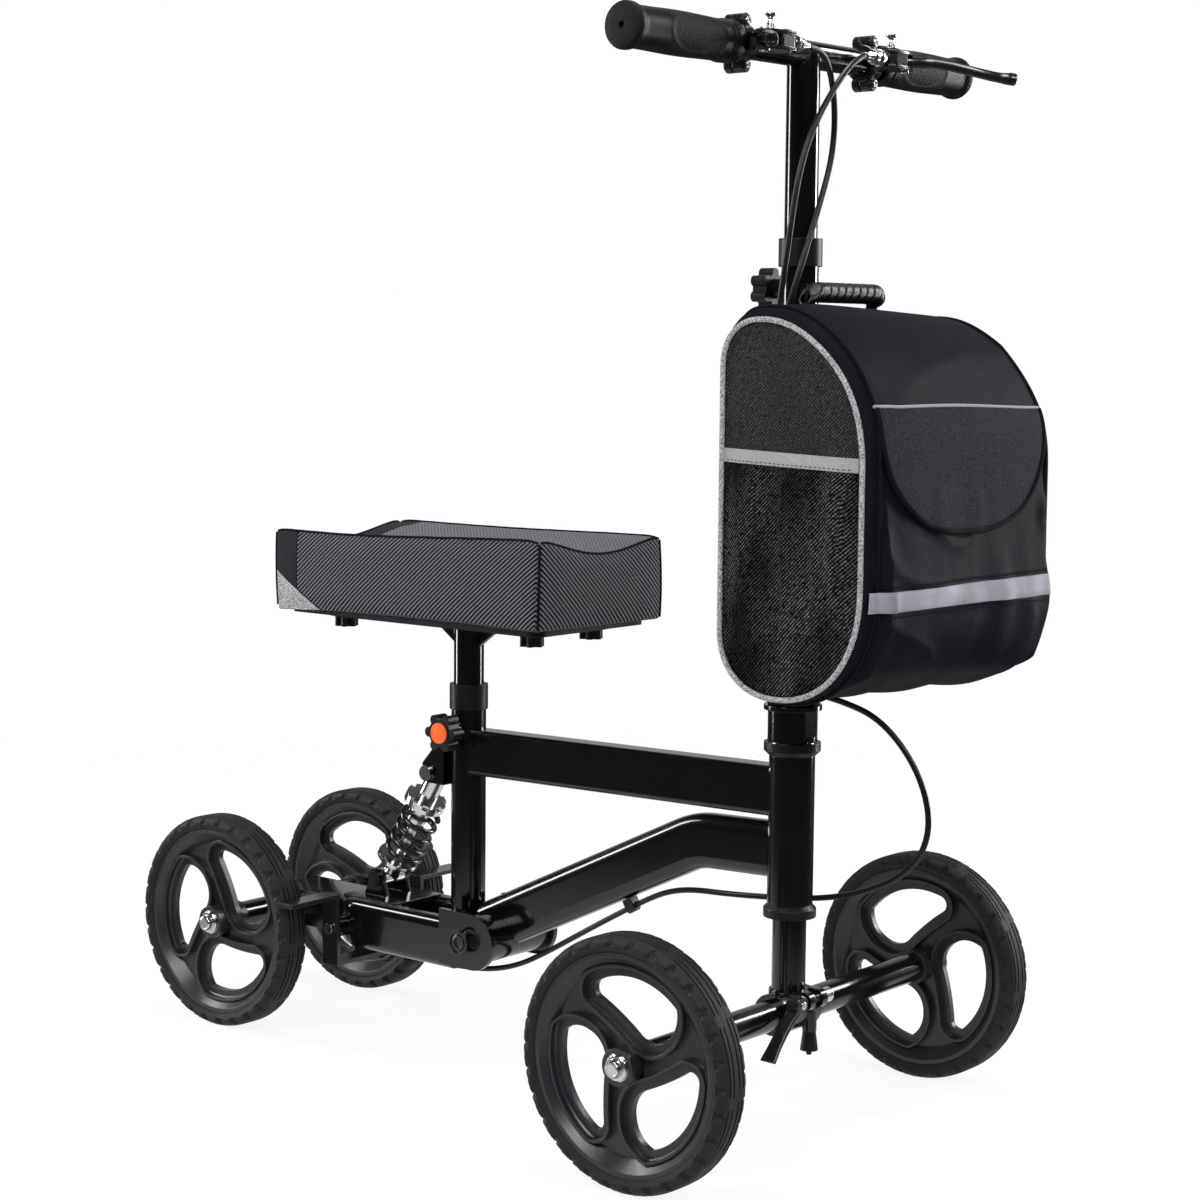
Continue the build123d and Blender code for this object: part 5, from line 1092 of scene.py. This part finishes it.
def bag_side(side):
    """Side panel: fine net above, loose net pocket below, with its grey band and piping."""
    name = left_or_right(side)
    band_z = BAG_LOW.z + 0.189
    rings, count = 34, 260
    middle = Vector(((BAG_LOW.x + BAG_HIGH.x) / 2, (BAG_LOW.z + BAG_HIGH.z) / 2))
    base = BAG_HIGH.y - 1.0 * MM

    def bulge(x, z, share):
        """Outward stand of the panel: crowned, with a fuller gathered pocket under the band."""
        inner = smoothstep(0.0, 0.35, 1 - share)
        under = smoothstep(0.0, 0.03, band_z - z) * inner
        full = 4.5 * under * smoothstep(0.0, 0.09, z - BAG_LOW.z)
        gather = crease(x * 60, z * 6, 1.3) * 3.4 * under * math.exp(-max(0.0, band_z - z) / 0.08)
        sags = noise.noise(Vector((x * 30 + z * 6, z * 9, 5.0 * side))) * 3.4 * under
        soft = noise.noise(Vector((x * 14, z * 14, 9.0))) * 0.8 * inner
        return (3.0 * inner + full + gather + sags + soft) * MM

    points = []
    outline = bag_outline(count, 7.0 * MM)
    for share in spread(1.0, 0.0, rings):
        for place, _ in outline:
            flat = middle.lerp(place, max(share, 0.004))
            points.append(Vector((flat.x, side * (base + bulge(flat.x, flat.y, share)), flat.y)))
    faces = turned_over(grid_faces(rings + 1, count, False, True), side < 0)
    piece = make(f"bag_side_{name}", points, faces, [NET_FINE, NET_OPEN], "column", "bag_cloth", 60)
    for polygon in piece.data.polygons:
        polygon.material_index = 1 if polygon.center.z < band_z else 0
    surface = tree_of(piece)
    rim = [Vector((p.x, side * (BAG_HIGH.y - 0.2 * MM), p.y)) for p, _ in bag_outline(240, 4.2 * MM)]
    bag_trim(f"piping_{name}", rim, 2.2, PIPING, 12, True)
    seam = []
    for p, out in bag_outline(240):
        y = side * (BAG_HIGH.y - 12.5 * MM)
        reach = bag_folds(Vector((p.x, y, p.y)), out) * (1 - smoothstep(0.3, 0.9, -out.x)) + 0.6 * MM
        seam.append(Vector((p.x + out.x * reach, y, p.y + out.y * reach)))
    bag_trim(f"zip_seam_{name}", seam, 1.7, BINDING, 10, True)
    rows = []
    for above in (-5.4, -5.0, 0.0, 5.0, 5.4):
        lift = 0.9 * MM if abs(above) < 5.2 else 0.0
        for x in spread(BAG_LOW.x + 5.5 * MM, BAG_HIGH.x - 7.5 * MM, 60):
            start = Vector((x, side * (BAG_HIGH.y + 0.05), band_z + above * MM - (x - BAG_LOW.x) * 0.035))
            hit, _, _, _ = surface.ray_cast(start, Vector((0, -side, 0)))
            rows.append(Vector((x, (hit.y if hit else side * base) + side * lift, start.z)))
    faces = turned_over(grid_faces(5, 61), side < 0)
    make(f"bag_band_{name}", rows, faces, BAND, "column", "bag_cloth", 50)
    lower = rows[61:122]
    for i in range(2, 58, 2):
        stitch = [lower[i].lerp(lower[i + 1], share) + Vector((0, side * 0.3 * MM, 1.6 * MM))
                  for share in (0.1, 0.5, 0.9)]
        bag_trim(f"stitch_{name}_{i}", stitch, 0.32, BINDING, 5)


def on_front(surface, y, z, lift):
    """The point of the bag's front at a height and width, some mm in front of the cloth."""
    hit, normal, _, _ = surface.ray_cast(Vector((BAG_HIGH.x + 0.1, y, z)), Vector((-1, 0, 0)))
    return hit + (normal if normal.x > 0 else -normal) * (lift * MM)


def bag_front(shell):
    """Flap with bound edge and light top piping, and the reflective band across the pocket."""
    surface = tree_of(shell)
    top_z, drop, half = BAG_LOW.z + 0.2265, 0.096, 0.119

    def flap_edge(angle):
        c, d = math.cos(angle), math.sin(angle)
        return half * signed(c, 0.78) - 2 * MM, top_z - drop * abs(d) ** 0.88

    def level_line(low, high, z, lift):
        return [on_front(surface, y, z, lift) for y in spread(low, high, 60)]

    rings, count = 16, 72
    points = []
    for share in spread(0.0, 1.0, rings):
        for angle in spread(0.0, math.pi, count):
            y, z = flap_edge(angle)
            y, z = y * share, top_z + (z - top_z) * share
            belly = 1.6 * math.sin(math.pi * share) * abs(math.sin(angle))
            lift = 2.6 + 0.8 * noise.noise(Vector((y * 20, z * 20, 4))) + belly
            points.append(on_front(surface, y, z, lift))
    make("bag_flap", points, grid_faces(rings + 1, count + 1), FLAP_CLOTH, "column", "bag_cloth", 60)
    edge = [on_front(surface, *flap_edge(angle), 2.0) for angle in spread(0.0, math.pi, 90)]
    bag_trim("flap_binding", edge, 2.5, BINDING, 10)
    bag_trim("flap_piping", level_line(-0.1235, 0.116, top_z + 1.2 * MM, 2.2), 1.3, BAND, 8)
    rows = []
    for share in (0.0, 0.04, 0.35, 0.65, 0.96, 1.0):
        for y in spread(-0.130, 0.127, 90):
            end = smoothstep(0.104, 0.112, -y) + smoothstep(0.104, 0.112, y) * 0.4
            lift = 0.2 + 1.6 * end if share in (0.0, 1.0) else 1.0 + 1.7 * end
            rows.append(on_front(surface, y, TAPE_Z + 15.5 * MM * share, lift))
    make("bag_reflector", rows, grid_faces(6, 91), TAPE, "column", "bag_cloth", 60)
    for name, above in (("upper", 18.6), ("lower", -3.2)):
        line = level_line(-0.129, 0.129, TAPE_Z + above * MM, 0.3)
        bag_trim(f"reflector_edge_{name}", line, 0.9, BINDING, 6)
    for side in (-1, 1):
        heights = spread(BAG_LOW.z + 0.032, BAG_LOW.z + 0.177, 40)
        line = [on_front(surface, side * POCKET_HALF, z, 0.1) for z in heights]
        bag_trim(f"pocket_seam_{left_or_right(side)}", line, 1.2, BINDING, 8)


def bag_slump():
    """Lets the whole bag settle: its far upper front sinks and its far lower front hangs fuller."""
    size = BAG_HIGH - BAG_LOW
    for piece in bpy.data.objects:
        if piece.name in NODES or not piece.name.startswith("bag_"):
            continue
        for vertex in piece.data.vertices:
            p = vertex.co
            far = smoothstep(-0.3, 1.0, p.y / BAG_HIGH.y)
            level, depth = (p.z - BAG_LOW.z) / size.z, (p.x - BAG_LOW.x) / size.x
            top = smoothstep(0.60, 1.0, level) * smoothstep(0.2, 0.9, depth) * far
            hang = (1 - smoothstep(0.02, 0.36, level)) * smoothstep(0.35, 0.9, depth) * far
            p.x += (8.5 * hang - 5.0 * top) * MM
            p.z -= (8.0 * hang + 10.0 * top) * MM
            near = smoothstep(0.7, 1.0, level) * (1 - far)
            p.z += (4.0 * (1 - smoothstep(0.3, 0.8, depth)) - 2.0 * smoothstep(0.4, 0.9, depth)) * near * MM


def bag_handle():
    """Grooved handle grip with its two folded webbing legs."""
    low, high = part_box("bag_handle")
    middle = Vector(((low.x + high.x) / 2, 0, high.z - 8.5 * MM))
    half = (high.y - low.y) / 2
    profile = []
    for share in spread(0.0, 1.0, 200):
        y = -half + 2 * half * share
        end = min(1.0, (1 - abs(2 * share - 1)) * 7)
        groove = (0.5 + 0.5 * math.cos(2 * math.pi * y / (10.2 * MM))) ** 14
        radius = 4.6 + 4.9 * end ** 0.5 - 1.1 * groove * smoothstep(0.10, 0.14, min(share, 1 - share))
        profile.append((radius, y / MM))
    piece = lathe("handle_grip", profile, middle, (0, 1, 0), "black_plastic", "column", 28, 70)
    for vertex in piece.data.vertices:
        p = vertex.co
        drop = smoothstep(0.76, 1.0, abs(p.y) / half) * 5.0 * MM
        p.y += (p.z - middle.z) * 0.45
        p.z = middle.z + (p.z - middle.z) * 0.86 - drop
    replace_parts(piece, "bag_handle")
    ring = ((-1.6, -6), (1.6, -6), (1.9, 0), (1.6, 6), (-1.6, 6), (-1.9, 0))
    for side in (-1, 1):
        points = []
        for share in spread(0.0, 1.0, 16):
            z = middle.z + 1.0 * MM - share * (middle.z - BAG_HIGH.z + 9 * MM)
            x = middle.x - 9 * MM * share ** 1.6
            points += [(x + dx * MM, side * (half - 8 * MM) + dy * MM, z) for dx, dy in ring]
        make(f"handle_leg_{left_or_right(side)}", points, grid_faces(17, 6, False, True),
             BINDING, "column", "bag_cloth", 30)


# ---------------------------------------------------------------- stage, lights and camera
def rays(tree):
    """Masks of camera, glossy and transmission rays."""
    path = tree.nodes.new("ShaderNodeLightPath")
    return [Val(tree, path.outputs[f"Is {kind} Ray"]) for kind in ("Camera", "Glossy", "Transmission")]


def stage():
    """Pale floor that keeps the shadow near the object and fades to white, and a white surround."""
    rings, steps = 40, 96
    points = [(0, 0, 0)]
    for ring in range(1, rings + 1):
        reach = 9.0 * (ring / rings) ** 1.6
        points += [(reach * c, reach * d, 0) for c, d in circle(steps)]
    faces = [(0, 1 + s, 1 + (s + 1) % steps) for s in range(steps)]
    for ring in range(rings - 1):
        for s in range(steps):
            a, b = 1 + ring * steps + s, 1 + ring * steps + (s + 1) % steps
            faces.append((a, a + steps, b + steps, b))
    ground = material("pale_floor", (0.86, 0.86, 0.86), 0.75, specular_ior_level=0.1)
    tree = ground.node_tree
    glow = tree.nodes.new("ShaderNodeEmission")
    mix = tree.nodes.new("ShaderNodeMixShader")
    (x, y, _), _ = coordinates(tree)
    reach = (x * x + y * y).math("SQRT")
    seen, shiny, _ = rays(tree)
    share = ((((reach - 0.75) * 0.8).clamped() * 0.12 + 0.88) * seen).math("MAXIMUM", shiny)
    shine = seen + (((reach - 0.95) * -2.2).clamped() * 0.75 + 0.05) * shiny
    tree.links.new(shine.socket, glow.inputs["Strength"])
    tree.links.new(share.socket, mix.inputs[0])
    tree.links.new(shader_of(ground).outputs[0], mix.inputs[1])
    tree.links.new(glow.outputs[0], mix.inputs[2])
    tree.links.new(mix.outputs[0], tree.nodes["Material Output"].inputs["Surface"])
    floor = make("floor", points, faces, ground)
    floor.location.z = CAD_BOUNDS[0].z
    world = bpy.data.worlds.new("studio")
    bpy.context.scene.world = world
    world.use_nodes = True
    tree = world.node_tree
    seen, glossy, clear = rays(tree)
    shiny = glossy.math("MAXIMUM", clear)
    x, y, z = split(tree, tree.nodes.new("ShaderNodeTexCoord").outputs["Generated"])
    zone = ((x * -0.60 + y * 0.74 + z * 0.30 - 0.80) * 7.0).clamped() * shiny  # bright low behind
    strength = seen * 0.76 + 0.24 - shiny * 0.225 + zone * 0.45
    background = tree.nodes["Background"]
    tree.links.new(strength.socket, background.inputs["Strength"])
    background.inputs["Color"].default_value = (1, 1, 1, 1)


def lamp(name, place, size, energy, target=(0.05, 0, 0.42)):
    """A rectangular soft box aimed at the object."""
    light = bpy.data.lights.new(name, "AREA")
    light.shape = "RECTANGLE"
    light.size, light.size_y = size
    light.energy = energy
    holder = bpy.data.objects.new(name, light)
    bpy.context.scene.collection.objects.link(holder)
    holder.location = place
    holder.rotation_mode = "QUATERNION"
    holder.rotation_quaternion = (Vector(target) - Vector(place)).to_track_quat("-Z", "Y")


def lights():
    """Tall strips beside and behind the object draw bright edges; boxes above light the cloth."""
    lamp("left_strip", (-1.95, -0.85, 0.95), (0.32, 2.3), 46, (0, 0, 0.5))
    lamp("right_strip", (1.05, 1.95, 0.95), (0.32, 2.3), 52, (0, 0, 0.5))
    lamp("key_box", (0.5, -2.3, 2.35), (1.5, 0.9), 62)
    lamp("top_box", (0.1, 0.2, 2.7), (1.6, 0.7), 36)
    lamp("front_box", (2.4, -0.5, 2.1), (0.7, 0.9), 30)


def camera():
    """The view of the product shot, seen from the front right, slightly above."""
    azimuth, elevation, roll = (math.radians(angle) for angle in (39.81, 5.902, 0.497))
    back = Vector((math.sin(azimuth) * math.cos(elevation), -math.cos(azimuth) * math.cos(elevation),
                   math.sin(elevation)))
    right = Vector((math.cos(azimuth), math.sin(azimuth), 0))
    up = back.cross(right)
    right, up = (right * math.cos(roll) + up * math.sin(roll), up * math.cos(roll) - right * math.sin(roll))
    data = bpy.data.cameras.new("camera")
    data.lens = 74.73
    holder = bpy.data.objects.new("camera", data)
    bpy.context.scene.collection.objects.link(holder)
    holder.location = (STEER.x + 1.1765, -1.6606, 0.6523)
    holder.rotation_mode = "QUATERNION"
    holder.rotation_quaternion = Matrix((right, up, back)).transposed().to_quaternion()
    bpy.context.scene.camera = holder


def main():
    """Dresses the frame, then adds stage, lights and camera."""
    finish_cad()
    for name in WHEELS:
        tyre(name)
        wheel_bolt(name)
    for side in (-1, 1):
        piece = grip(side)
        clamp = lever_bracket(side)
        lever_blade(side)
        parking_pin(side)
    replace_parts(piece, "grips")
    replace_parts(clamp, "lever_clamps")
    knob_cap("seat_knob_cap", "seat_knob", 1, ORANGE)
    knob_cap("column_knob_cap", "column_knob", 0, RED)
    cross_bolts()
    spring()
    cables()
    knee_pad()
    shell = bag_shell()
    for side in (-1, 1):
        bag_side(side)
    bag_front(shell)
    bag_slump()
    bag_handle()
    clamp_lever()
    stage()
    lights()
    camera()
    bpy.context.scene.view_settings.view_transform = "Standard"


main()
